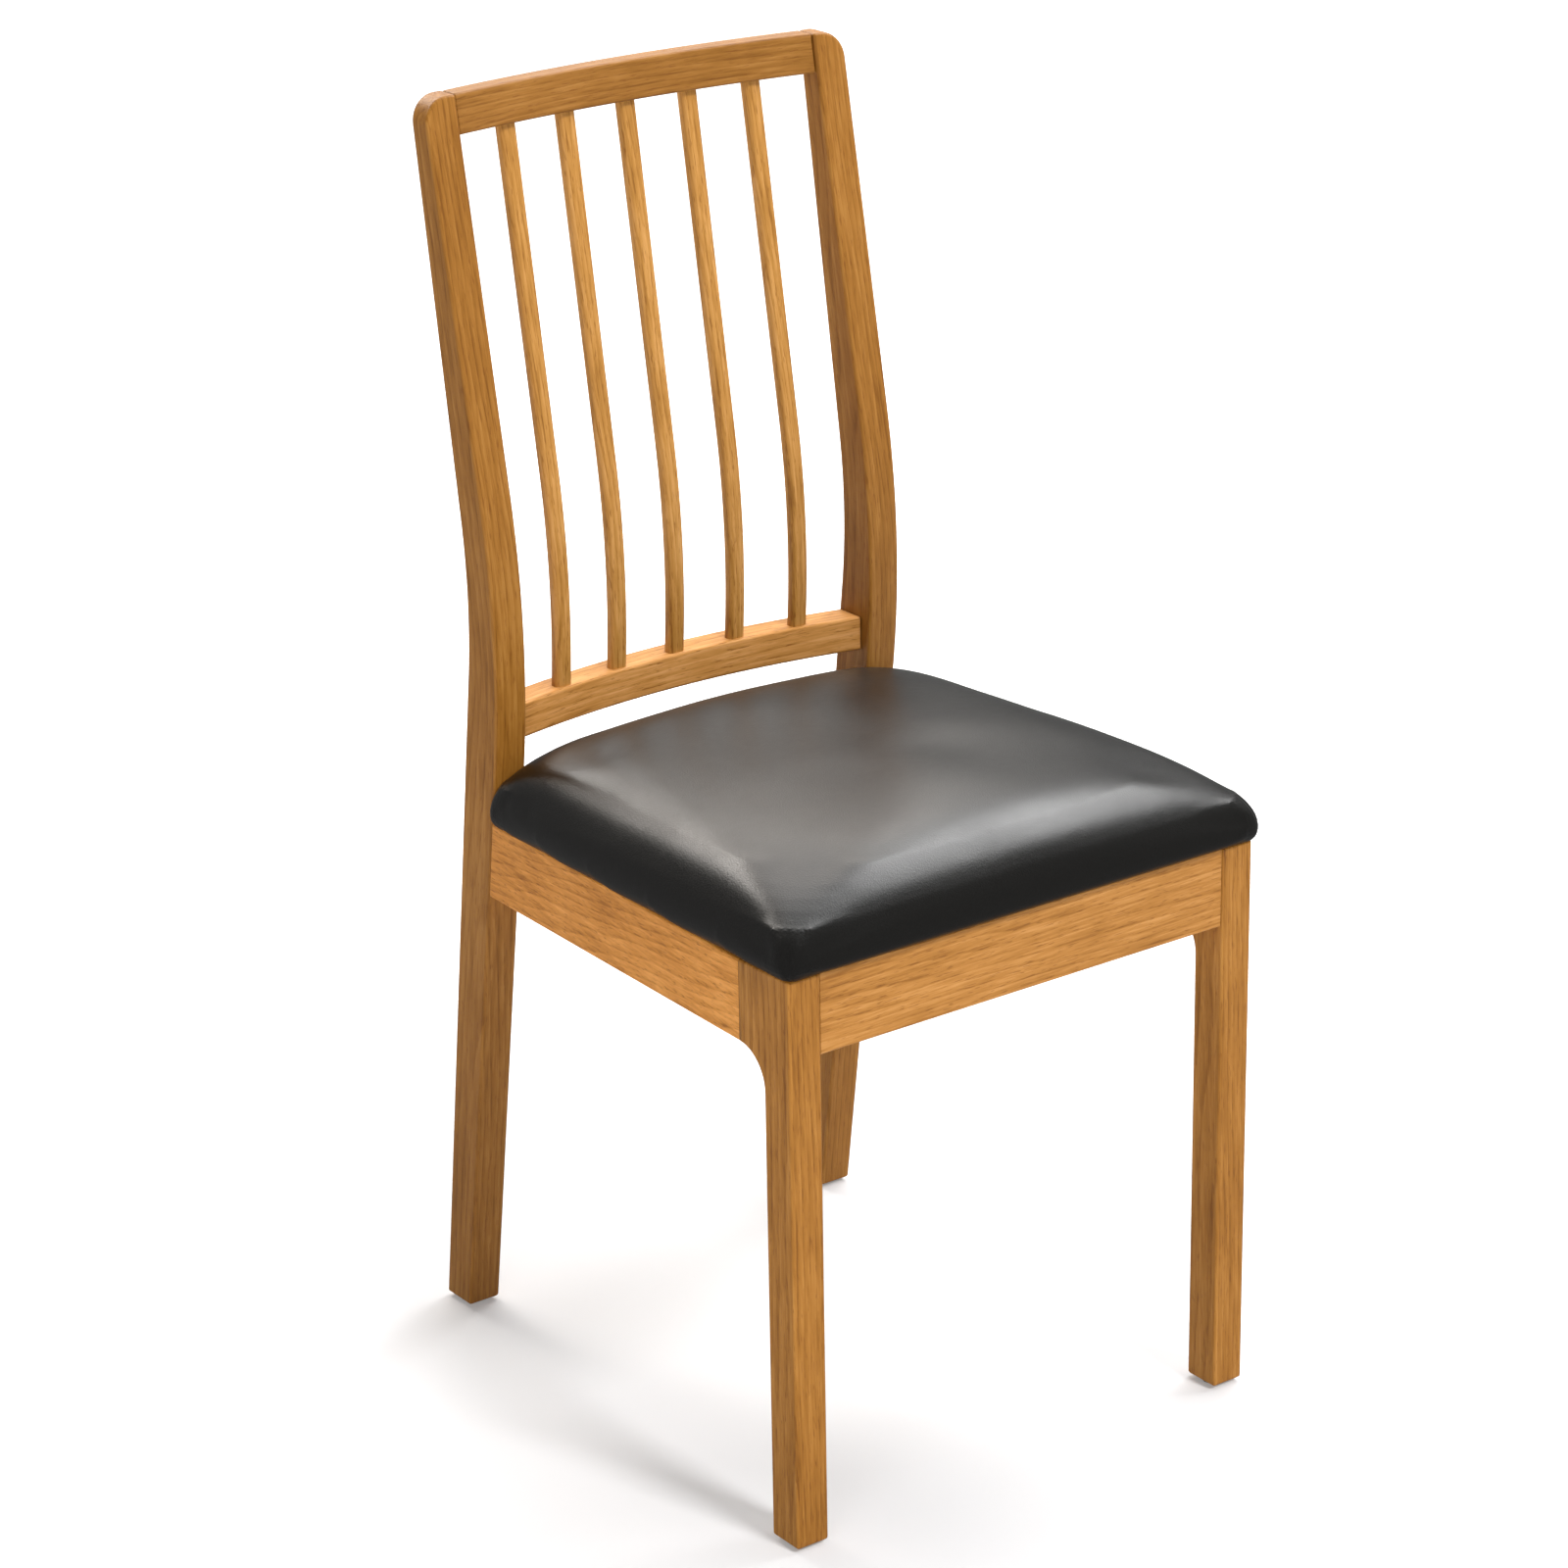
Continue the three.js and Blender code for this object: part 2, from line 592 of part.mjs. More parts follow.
function addRailJoints(side, word) {
  const post = `back_post_${word}`;
  const x = side * (postInnerX - SHORT_DOWEL_LENGTH / 2 + SHORT_DOWEL_IN_POST);
  const lowerZ = lowerRailZ + LOWER_RAIL_HEIGHT / 2;
  const lowerY = lowerRailY + LOWER_RAIL_THICKNESS / 2;
  addDowel(`dowel_lower_rail_${word}`, [post, 'lower_back_rail'], 'x', [x, lowerY, lowerZ], DOWEL_RADIUS,
    SHORT_DOWEL_LENGTH);
  const topZ = topRailZ + TOP_RAIL_HEIGHT / 2;
  const topY = postFront.at(topZ) + TOP_RAIL_SETBACK + TOP_RAIL_THICKNESS / 2;
  addDowel(`dowel_top_rail_${word}`, [post, 'top_rail'], 'x', [x, topY, topZ], SLIM_DOWEL_RADIUS,
    SHORT_DOWEL_LENGTH);
}

// A bolt from behind the post pulls on a barrel nut that lies across the side apron.
function addBolt(word, x, z) {
  const seatY = postBack.at(z) - BOLT_SINK - BOLT_HEAD_HEIGHT;
  const tip = seatY - BOLT_LENGTH;
  const socket = place(new THREE.CylinderGeometry(BOLT_SOCKET_RADIUS, BOLT_SOCKET_RADIUS,
    2 * BOLT_SOCKET_DEPTH, 6), 'y', [0, BOLT_LENGTH + BOLT_HEAD_HEIGHT, 0]);
  const shape = [
    [0, 0],
    [BOLT_RADIUS, 0],
    [BOLT_RADIUS, BOLT_LENGTH],
    [BOLT_HEAD_RADIUS, BOLT_LENGTH],
    [BOLT_HEAD_RADIUS, BOLT_LENGTH + BOLT_HEAD_HEIGHT],
    [0, BOLT_LENGTH + BOLT_HEAD_HEIGHT],
  ];
  const hole = [
    [0, -GAP],
    [BOLT_RADIUS + GAP, -GAP],
    [BOLT_RADIUS + GAP, BOLT_LENGTH - GAP],
    [BOLT_HEAD_RADIUS + GAP, BOLT_LENGTH - GAP],
    [BOLT_HEAD_RADIUS + GAP, BOLT_LENGTH + BOLT_HEAD_HEIGHT + 2 * BOLT_SINK],
    [0, BOLT_LENGTH + BOLT_HEAD_HEIGHT + 2 * BOLT_SINK],
  ];
  const nut = `barrel_nut_${word}`;
  addFixing(`frame_bolt_${word}`, 'steel', [`back_post_${word}`, `side_apron_${word}`, nut],
    place(subtract(turned(shape), [socket]), 'y', [x, tip, z]), place(turned(hole), 'y', [x, tip, z]));
  const nutAt = [x, tip + BARREL_NUT_FROM_END, z];
  const pocketLength = APRON_THICKNESS + BARREL_NUT_LENGTH;
  const inward = -Math.sign(x);
  const pocketX = x + inward * (pocketLength - BARREL_NUT_LENGTH) / 2;
  addFixing(nut, 'steel', [`side_apron_${word}`],
    place(rod(BARREL_NUT_RADIUS, BARREL_NUT_LENGTH), 'x', nutAt),
    place(rod(BARREL_NUT_RADIUS + GAP, pocketLength + 2 * GAP), 'x', [pocketX, nutAt[1], z]));
}

// Screws rise through the corner blocks into the seat board.
function addSeatScrew(place2d, block, [x, y], blockTop) {
  const headTop = blockTop - BLOCK_HEIGHT - GAP;
  const length = seatZ(y) + boardBottom + SCREW_IN_BOARD - headTop;
  const shape = [
    [0, -SCREW_HEAD_HEIGHT],
    [SCREW_HEAD_RADIUS * 0.7, -SCREW_HEAD_HEIGHT],
    [SCREW_HEAD_RADIUS, 0],
    [SCREW_RADIUS, 0],
    [SCREW_RADIUS, length - SCREW_RADIUS],
    [0, length],
  ];
  addFixing(`seat_screw_${place2d}`, 'steel', [block, 'seat_board', 'seat_cover', 'seat_lining'],
    place(turned(shape), 'z', [x, y, headTop]),
    place(rod(SCREW_RADIUS + GAP, 2 * length), 'z', [x, y, headTop + GAP]));
}

function addGlide(where, foot, x, y) {
  const shape = [
    [0, 0],
    [GLIDE_RADIUS - GLIDE_CHAMFER, 0],
    [GLIDE_RADIUS, GLIDE_CHAMFER],
    [GLIDE_RADIUS, GLIDE_HEIGHT - GAP],
    [GLIDE_PIN_RADIUS, GLIDE_HEIGHT - GAP],
    [GLIDE_PIN_RADIUS, GLIDE_HEIGHT + GLIDE_PIN_LENGTH],
    [0, GLIDE_HEIGHT + GLIDE_PIN_LENGTH + GLIDE_PIN_RADIUS],
  ];
  const depth = GLIDE_PIN_LENGTH + GLIDE_PIN_RADIUS + GAP;
  addFixing(`foot_glide_${where}`, 'plastic', [foot], place(turned(shape), 'z', [x, y, 0]),
    place(rod(GLIDE_PIN_RADIUS + GAP, 2 * depth), 'z', [x, y, GLIDE_HEIGHT]));
}

// ---------- assembly ----------
const chair = new THREE.Group();

function add(name, finish, geometry) {
  const mesh = new THREE.Mesh(geometry, new THREE.MeshStandardMaterial(finishes[finish]));
  mesh.name = name;
  chair.add(mesh);
}

// Adds a wooden or seat piece with a hole for every fixing that joins it.
function addDrilled(name, finish, geometry, moreCutters = []) {
  const holes = fixings.filter(({ joins }) => joins.includes(name)).map(({ hole }) => hole);
  const cutters = [...holes, ...moreCutters];
  add(name, finish, cutters.length > 0 ? subtract(geometry, cutters) : geometry);
}

const sides = [['left', -1], ['right', 1]];

sides.forEach(([word, side]) => {
  addFrontJoints(side, word);
  addRearJoints(side, word);
  addRailJoints(side, word);
  const frontScrew = [
    side * (legInnerX - BLOCK_ALONG_APRON / 3),
    frontApronInnerY + BLOCK_ALONG_SIDE * 0.4,
  ];
  const frontTop = blockTopZ(frontApronInnerY + GAP
    + Math.min(BLOCK_ALONG_SIDE, LEG_HEAD_DEPTH - frontApronInnerY - GAP));
  addSeatScrew(`front_${word}`, `corner_block_front_${word}`, frontScrew, frontTop);
  const rearScrew = [side * (postInnerX - BLOCK_ALONG_APRON / 4), rearBlockY - BLOCK_ALONG_APRON / 3];
  addSeatScrew(`rear_${word}`, `corner_block_rear_${word}`, rearScrew, blockTopZ(rearBlockY));
  addGlide(`front_${word}`, `front_leg_${word}`, side * (legOuterX - LEG_WIDTH / 2), LEG_DEPTH / 2);
  addGlide(`rear_${word}`, `back_post_${word}`, side * (postOuterX - POST_WIDTH / 2),
    KNEE_Y + FOOT_RAKE + POST_FOOT_DEPTH / 2);
});

sides.forEach(([word, side]) => {
  addDrilled(`back_post_${word}`, 'oak', backPost(side));
  addDrilled(`front_leg_${word}`, 'oak', frontLeg(side));
  addDrilled(`side_apron_${word}`, 'oak', sideApron(side));
  addDrilled(`corner_block_front_${word}`, 'beech', frontBlock(side));
  addDrilled(`corner_block_rear_${word}`, 'beech', rearBlock(side));
});

const spindleXs = Array.from({ length: SPINDLE_COUNT }, (unused, i) => spindleX(i));
const pockets = spindleXs.map((x) => spindle(x, GAP));
addDrilled('front_apron', 'oak', frontApron());
addDrilled('rear_apron', 'oak', rearApron());
addDrilled('top_rail', 'oak', topRail(), pockets);
addDrilled('lower_back_rail', 'oak', lowerRail(), pockets);
spindleXs.forEach((x, i) => add(`spindle_${i + 1}`, 'oak', spindle(x, 0)));

addDrilled('seat_board', 'plywood', seatBoard());
add('seat_foam', 'foam', seatFoam());
addDrilled('seat_cover', 'leather', seatCover());
addDrilled('seat_lining', 'lining', seatLining());

// A nut is drilled by the bolt that it holds.
fixings.forEach(({ name, finish, geometry }) => addDrilled(name, finish, geometry));

// The origin is under the middle of the whole chair.
const middle = new THREE.Box3().setFromObject(chair).getCenter(new THREE.Vector3());
chair.position.set(-middle.x, -middle.y, 0);

const diningChair = new THREE.Group();
diningChair.add(chair);

export default diningChair;
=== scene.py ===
# %% [markdown]
# # A dining chair, finished over its CAD frame
# The chair has a stained oak frame, a back of bent spindles and a black upholstered seat pad.
# The CAD model fixes every place and size. This lesson remakes the parts that the eye lands on
# with soft edges, inflates the pad, and gives each surface a procedural finish.

# %% Load the frame
import math

import bmesh
import bpy
from mathutils import Matrix, Vector
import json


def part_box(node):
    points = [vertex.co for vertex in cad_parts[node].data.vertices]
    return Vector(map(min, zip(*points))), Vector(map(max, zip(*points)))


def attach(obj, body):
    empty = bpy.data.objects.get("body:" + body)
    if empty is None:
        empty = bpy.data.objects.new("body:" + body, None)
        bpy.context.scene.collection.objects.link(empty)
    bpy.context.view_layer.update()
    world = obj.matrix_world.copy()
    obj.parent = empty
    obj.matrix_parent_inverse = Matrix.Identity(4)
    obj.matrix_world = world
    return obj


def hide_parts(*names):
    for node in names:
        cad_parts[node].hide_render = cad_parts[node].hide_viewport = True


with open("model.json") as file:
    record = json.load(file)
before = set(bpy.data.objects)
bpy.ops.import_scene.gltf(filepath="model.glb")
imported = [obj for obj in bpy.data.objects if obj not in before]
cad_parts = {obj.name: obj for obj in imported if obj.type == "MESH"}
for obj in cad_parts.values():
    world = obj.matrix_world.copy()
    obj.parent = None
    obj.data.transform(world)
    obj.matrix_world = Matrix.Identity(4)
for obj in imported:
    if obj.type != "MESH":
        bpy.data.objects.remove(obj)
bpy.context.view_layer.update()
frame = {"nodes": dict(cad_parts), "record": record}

# %% [markdown]
# ## The camera
# The camera stands in front and to the left of the chair, and looks down by about 21 degrees. It
# could aim at the seat with a Track To constraint, but that leaves no roll. Here the camera's axes
# are built from a heading, a tilt and a small roll, so that each can be changed by itself. The
# long lens keeps the legs nearly parallel.

# %% Camera
HEADING = math.radians(36.14)
TILT = math.radians(-20.905)
ROLL = math.radians(-1.0)
LENS = 106.29
SENSOR_WIDTH = 36
CAMERA_PLACE = Vector((-1.8715, -2.5198, 1.6539))
SEAT_SPOT = Vector((0, 0, 0.45))


def camera_turn(heading, tilt, roll):
    """Columns right, up and back, as a camera object wants them."""
    level = Vector((math.sin(heading), math.cos(heading), 0))
    ahead = level * math.cos(tilt) + Vector((0, 0, math.sin(tilt)))
    right = Vector((math.cos(heading), -math.sin(heading), 0))
    up = right.cross(ahead)
    rolled_right = right * math.cos(roll) + up * math.sin(roll)
    rolled_up = up * math.cos(roll) - right * math.sin(roll)
    return Matrix((rolled_right, rolled_up, -ahead)).transposed()


camera_data = bpy.data.cameras.new("camera")
camera_data.lens = LENS
camera_data.sensor_width = SENSOR_WIDTH
camera = bpy.data.objects.new("camera", camera_data)
bpy.context.collection.objects.link(camera)
camera.location = CAMERA_PLACE
camera.rotation_mode = "QUATERNION"
camera.rotation_quaternion = camera_turn(HEADING, TILT, ROLL).to_quaternion()
bpy.context.scene.camera = camera
print("camera", round((CAMERA_PLACE - SEAT_SPOT).length, 2), "m from the seat")

# %% [markdown]
# ## Shared measures
# The frame gives most places: a box round a CAD node says where its faces are. What a box can't
# say, such as the slope of the seat, is written here once, in metres, in the CAD model's own
# terms. The front legs' front face is where the chair's depth is measured from.

# %% Measures
LEG_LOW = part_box("front_leg_left")[0]
POST_LOW, POST_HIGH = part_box("back_post_left")
FRONT_Y = LEG_LOW.y
TOP_Z = POST_HIGH.z
FOOT_Z = LEG_LOW.z
SEAT_FRONT_Z = 0.434
SEAT_FALL = 0.03
KNEE_BEHIND_FRONT = 0.373
KNEE_ABOVE_SEAT = 0.130
KNEE_Y = FRONT_Y + KNEE_BEHIND_FRONT
KNEE_Z = SEAT_FRONT_Z + KNEE_ABOVE_SEAT
JOINT_GAP = 0.0003
TOUCH = 1e-5
print("front face at y", round(FRONT_Y, 4), "top at z", round(TOP_Z, 3))


def seat_z(y):
    """Height of the seat frame's sloping top."""
    return SEAT_FRONT_Z - SEAT_FALL * (y - FRONT_Y)


# %% [markdown]
# ## The bend of the back
# Each post is one bent piece: straight below the seat, straight above, and rounded at the knee.
# A curve object could draw it, but the rails and the spindles follow the same bend, so it is
# written as a function that gives y at any height. The back edge bends a little higher and more
# tightly than the front edge, which makes the post thickest at the knee.

# %% The bent line
FOOT_RAKE = 0.082
TOP_RAKE = 0.0715
POST_DEPTHS = {"foot": 0.032, "knee": 0.0385, "top": 0.0195}
BACK_KNEE_RISE = 0.024
KNEE_FRONT_RADIUS = 0.650
KNEE_BACK_RADIUS = 0.450
BEND_STEPS = 20


def bent_line(foot, knee, top, radius):
    """y at any height, for a line of two straights whose knee is an arc."""
    below = (knee[0] - foot[0]) / (knee[1] - foot[1])
    above = (top[0] - knee[0]) / (top[1] - knee[1])
    low_angle, high_angle = math.atan(below), math.atan(above)
    tangent = radius * math.tan((high_angle - low_angle) / 2)
    start = knee[1] - tangent * math.cos(low_angle)
    end = knee[1] + tangent * math.cos(high_angle)
    centre_y = knee[0] + below * (start - knee[1]) + radius * math.cos(low_angle)
    centre_z = start - radius * math.sin(low_angle)

    def at(z):
        if z <= start:
            return knee[0] + below * (z - knee[1])
        if z >= end:
            return knee[0] + above * (z - knee[1])
        return centre_y - math.sqrt(radius**2 - (z - centre_z) ** 2)

    return at, start, end, above


FOOT_Y = KNEE_Y + FOOT_RAKE
CREST_Y = KNEE_Y + TOP_RAKE
post_front, bend_start, bend_end, lean = bent_line(
    (FOOT_Y, 0), (KNEE_Y, KNEE_Z), (CREST_Y, TOP_Z), KNEE_FRONT_RADIUS)
post_back, back_start, back_end, _ = bent_line(
    (FOOT_Y + POST_DEPTHS["foot"], 0),
    (KNEE_Y + POST_DEPTHS["knee"], KNEE_Z + BACK_KNEE_RISE),
    (CREST_Y + POST_DEPTHS["top"], TOP_Z), KNEE_BACK_RADIUS)
print("the bend runs from", round(bend_start, 3), "to", round(bend_end, 3))


def heights(low, high, start, end):
    """Heights for drawing a bent edge: its two ends, and many steps over the bend."""
    bend = [start + (end - start) * i / BEND_STEPS for i in range(BEND_STEPS + 1)]
    return [low] + [z for z in bend if low < z < high] + [high]


# %% [markdown]
# ## Milled wooden bars
# Every wooden part is a flat outline given thickness, as if cut on a bandsaw, with its long
# edges eased by a router. In bmesh that is one face, an extrusion and a bevel. A weighted-normal
# modifier then keeps the broad faces flat in the light while the eased edges stay round.

# %% Bars
EDGE = 0.0022
END_EASE = 0.0015
SHARP_ANGLE = math.radians(28)


def easing(bm, radius, segments=3, keep=lambda edge: True):
    """Rounds each sharp edge that keep() accepts."""
    closed = [e for e in bm.edges if len(e.link_faces) == 2]
    sharp = [e for e in closed if e.calc_face_angle(0) > SHARP_ANGLE]
    chosen = [e for e in sharp if keep(e)]
    bmesh.ops.bevel(bm, geom=chosen, offset=radius, offset_type="OFFSET", segments=segments,
                    profile=0.5, affect="EDGES", material=-1, clamp_overlap=True)


def ease_ends(bm, at_end):
    """A fine ease round the butt ends, which makes each joint show as a thin dark line."""
    easing(bm, END_EASE, segments=2, keep=lambda e: all(at_end(v.co) for v in e.verts))


print("edges eased by", EDGE * 1000, "mm, butt ends by", END_EASE * 1000, "mm")


# %% [markdown]
# ## From an outline to a finished piece
# A board is its outline pushed straight back, and then it has to become a scene object that takes
# its CAD node's place. A Solidify modifier could give the thickness, but the bevels need real faces
# to work on, so the face is extruded in the bmesh. Every oak piece below goes through these helpers.

# %% Blocks and pieces
def thicken(bm, corners, shift):
    """A face through the corners, pushed along shift into a closed block."""
    face = bm.faces.new([bm.verts.new(c) for c in corners])
    pushed = bmesh.ops.extrude_face_region(bm, geom=[face])
    tops = [g for g in pushed["geom"] if isinstance(g, bmesh.types.BMVert)]
    bmesh.ops.translate(bm, verts=tops, vec=shift)
    bmesh.ops.recalc_face_normals(bm, faces=bm.faces)


def piece_from(bm, name):
    """Turns a bmesh into a scene object with smooth, face-weighted shading."""
    mesh = bpy.data.meshes.new(name)
    bmesh.ops.triangulate(bm, faces=[f for f in bm.faces if len(f.verts) > 4])
    bm.to_mesh(mesh)
    bm.free()
    mesh.polygons.foreach_set("use_smooth", [True] * len(mesh.polygons))
    piece = bpy.data.objects.new(name, mesh)
    bpy.context.collection.objects.link(piece)
    weighted = piece.modifiers.new("weighted", "WEIGHTED_NORMAL")
    weighted.keep_sharp = False
    return piece


def along_x(edge):
    """True for an edge that runs mainly along X."""
    run = edge.verts[1].co - edge.verts[0].co
    return abs(run.x) > 0.8 * run.length


def installed(piece, node):
    """Puts a finished oak piece in a CAD node's place."""
    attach(piece, "root")
    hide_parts(node)
    return piece


print("shading weighted by face, on pieces that take a CAD node's place")

# %% [markdown]
# ## Back posts
# The post's side outline is extruded across its width. Its outer top corner has a large round,
# about the size of a coin, which is beveled first, and then the long edges are eased. An outline
# drawn from the front would give the round more easily, but not the bend, which is seen more.

# %% Posts
CROWN_ROUND = 0.020
CROWN_SEGMENTS = 10


def make_post(word, side):
    low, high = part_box("back_post_" + word)
    front = [(post_front(z), z) for z in heights(FOOT_Z, TOP_Z, bend_start, bend_end)]
    back = [(post_back(z), z) for z in heights(FOOT_Z, TOP_Z, back_start, back_end)]
    bm = bmesh.new()
    thicken(bm, [(low.x, y, z) for y, z in front + back[::-1]], (high.x - low.x, 0, 0))
    outer = low.x if side < 0 else high.x
    crest = [e for e in bm.edges
             if all(v.co.z > TOP_Z - TOUCH and abs(v.co.x - outer) < TOUCH for v in e.verts)]
    bmesh.ops.bevel(bm, geom=crest, offset=CROWN_ROUND, offset_type="OFFSET",
                    segments=CROWN_SEGMENTS, profile=0.5, affect="EDGES", material=-1)
    easing(bm, EDGE)
    return installed(piece_from(bm, "post_" + word), "back_post_" + word)


posts = [make_post("left", -1), make_post("right", 1)]
print("posts", [len(p.data.polygons) for p in posts])

# %% [markdown]
# ## Front legs
# The leg widens at the top to meet the side apron, with a hollow curve underneath. The head's
# top follows the slope of the seat frame. The curve is part of the outline, as a bandsaw would
# cut it, so no piece has to be joined on or cut away.

# %% Front legs
LEG_DEPTH = 0.030
LEG_HEAD = 0.057
APRON_HEIGHT = 0.061
COVE = 0.028
COVE_STEPS = 12


def leg_outline():
    reach = math.acos(1 - (LEG_HEAD - LEG_DEPTH) / COVE)
    head_y = FRONT_Y + LEG_HEAD
    base = seat_z(head_y) - APRON_HEIGHT
    cove = []
    for i in range(COVE_STEPS + 1):
        angle = reach * i / COVE_STEPS
        y = FRONT_Y + LEG_DEPTH + COVE * (1 - math.cos(angle))
        cove.append((y, base - COVE * (math.sin(reach) - math.sin(angle))))
    corners = [(FRONT_Y, FOOT_Z), (FRONT_Y + LEG_DEPTH, FOOT_Z)]
    return corners + cove + [(head_y, seat_z(head_y)), (FRONT_Y, SEAT_FRONT_Z)]


def make_leg(word):
    low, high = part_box("front_leg_" + word)
    bm = bmesh.new()
    thicken(bm, [(low.x, y, z) for y, z in leg_outline()], (high.x - low.x, 0, 0))
    head_y = FRONT_Y + LEG_HEAD
    easing(bm, EDGE, keep=lambda e: not all(v.co.y > head_y - TOUCH for v in e.verts))
    return installed(piece_from(bm, "leg_" + word), "front_leg_" + word)


legs = [make_leg("left"), make_leg("right")]
print("leg faces", len(legs[0].data.polygons))

# %% [markdown]
# ## Aprons
# Four boards join the legs under the seat. The side boards run inwards to the narrower back and
# end on the raked posts. A turned box would have square ends there, so each board is an outline
# extruded straight and then sheared sideways. The long edges are eased well, and the butt ends
# only a little, so that each joint shows as a thin dark line.

# %% Aprons
APRON_THICK = 0.020


def make_apron(node, outline, lean_in=0.0):
    """outline is (y, z) corners; the board's x places come from the CAD node."""
    low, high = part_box(node)
    bm = bmesh.new()
    width = (high.x - low.x) - abs(lean_in) * (high.y - low.y)
    x0 = low.x if lean_in >= 0 else high.x - width
    thicken(bm, [(x0, y, z) for y, z in outline], (width, 0, 0))
    for v in bm.verts:
        v.co.x += lean_in * (v.co.y - low.y)
    if lean_in:
        easing(bm, EDGE, keep=lambda e: abs((e.verts[1].co - e.verts[0].co).y) > 0.1)
        ease_ends(bm, lambda co: co.y < low.y + TOUCH
                  or abs(co.y - post_front(co.z) + JOINT_GAP) < 20 * TOUCH)
    else:
        easing(bm, EDGE, keep=along_x)
        ease_ends(bm, lambda co: abs(co.x) > high.x - TOUCH)
    return installed(piece_from(bm, "board_" + node), node)


def box_outline(node):
    """The side outline of a level board from its CAD box, its top on the seat's slope."""
    low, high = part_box(node)
    return [(low.y, low.z), (high.y, low.z), (high.y, seat_z(high.y)), (low.y, seat_z(low.y))]


def side_outline(node):
    low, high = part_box(node)
    top_rear = post_front(seat_z(KNEE_Y)) - JOINT_GAP
    low_rear = high.y
    return [(low.y, seat_z(low.y) - APRON_HEIGHT), (low_rear, seat_z(low_rear) - APRON_HEIGHT),
            (top_rear, seat_z(top_rear)), (low.y, seat_z(low.y))]


def rear_outline(node):
    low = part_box(node)[0]
    top = seat_z(post_front(seat_z(KNEE_Y)))
    inset = low.y - post_front(top)
    low_y = post_front(low.z) + inset
    top_y = post_front(top) + inset
    return [(low_y, low.z), (low_y + APRON_THICK, low.z),
            (top_y + APRON_THICK, top - SEAT_FALL * APRON_THICK), (top_y, top)]


side_low, side_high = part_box("side_apron_left")
SIDE_LEAN = (side_high.x - side_low.x - APRON_THICK) / (side_high.y - side_low.y)
aprons = [
    make_apron("front_apron", box_outline("front_apron")),
    make_apron("rear_apron", rear_outline("rear_apron")),
    make_apron("side_apron_left", side_outline("side_apron_left"), SIDE_LEAN),
    make_apron("side_apron_right", side_outline("side_apron_right"), -SIDE_LEAN),
]
print("side boards lean in", round(math.degrees(math.atan(SIDE_LEAN)), 2), "degrees")

# %% [markdown]
# ## Rails of the back
# Both rails are bowed in plan so that they fit a sitter's back. The top rail also leans with the
# posts. A Simple Deform modifier could bend a straight bar, but its ends would turn away from the
# posts. Each rail is a curved plan outline given height, then leaned, so its ends stay square.

# %% Rails
RAIL_STEPS = 28
HALF_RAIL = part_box("top_rail")[1].x


def bowed(x, bow):
    return bow * (1 - (x / HALF_RAIL) ** 2)


def make_rail(node, bow, thick, setback, slope):
    low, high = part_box(node)
    y = post_front(low.z) + setback
    xs = [HALF_RAIL * (2 * i / RAIL_STEPS - 1) for i in range(RAIL_STEPS + 1)]
    front = [(x, y + bowed(x, bow)) for x in xs]
    back = [(x, fy + thick) for x, fy in reversed(front)]
    bm = bmesh.new()
    thicken(bm, [(x, fy, low.z) for x, fy in front + back], (0, 0, high.z - low.z))
    for v in bm.verts:
        v.co.y += slope * (v.co.z - low.z)
    easing(bm, EDGE, keep=lambda e: any(abs(abs(v.co.x) - HALF_RAIL) > TOUCH for v in e.verts))
    ease_ends(bm, lambda co: abs(co.x) > HALF_RAIL - TOUCH)
    return installed(piece_from(bm, "rail_" + node), node)


TOP_BOW, TOP_SETBACK, TOP_THICK = 0.013, 0.002, 0.017
LOW_BOW, LOW_SETBACK, LOW_THICK = 0.0187, 0.0078, 0.026
rails = [
    make_rail("top_rail", TOP_BOW, TOP_THICK, TOP_SETBACK, lean),
    make_rail("lower_back_rail", LOW_BOW, LOW_THICK, LOW_SETBACK, 0),
]
print("rails", [r.name for r in rails])

# %% [markdown]
# ## Spindles
# Five thin bars follow the posts' bend, each set back from the rails' faces and eased so far
# that they feel almost oval. They sit further back in the middle of the chair, where the rails
# bow. An array of one bar couldn't do that, so each is drawn from its own CAD node's place.

# %% Spindles
SPINDLE_EDGE = 0.0036
SPINDLE_THICK = 0.010
SPINDLE_SETBACK = 0.0055


def make_spindle(node):
    low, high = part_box(node)
    x = (low.x + high.x) / 2
    low_offset = LOW_SETBACK + bowed(x, LOW_BOW)
    high_offset = TOP_SETBACK + bowed(x, TOP_BOW)

    def front(z):
        share = (z - low.z) / (high.z - low.z)
        return post_front(z) + low_offset + (high_offset - low_offset) * share + SPINDLE_SETBACK

    zs = heights(low.z, high.z, max(bend_start, low.z), bend_end)
    outline = [(front(z), z) for z in zs] + [(front(z) + SPINDLE_THICK, z) for z in reversed(zs)]
    bm = bmesh.new()
    thicken(bm, [(low.x, y, z) for y, z in outline], (high.x - low.x, 0, 0))
    easing(bm, SPINDLE_EDGE, segments=4,
           keep=lambda e: abs((e.verts[1].co - e.verts[0].co).z) > 0.5 * e.calc_length())
    return installed(piece_from(bm, "bar_" + node), node)


spindles = [make_spindle(f"spindle_{i}") for i in range(1, 6)]
print("spindles", len(spindles))

# %% [markdown]
# ## The seat pad
# The real pad is foam on a board, wrapped in coated cloth that is pulled tight underneath. It is
# flat below, swells a little past the frame, and crowns on top, with crisp corners low down that
# melt into a broad roll. It could be a beveled box, but a bevel has the same roundness all the
# way round. Here it is lofted from rounded outlines instead, one for each height, and the cloth
# simulation then tightens the cover over that form.

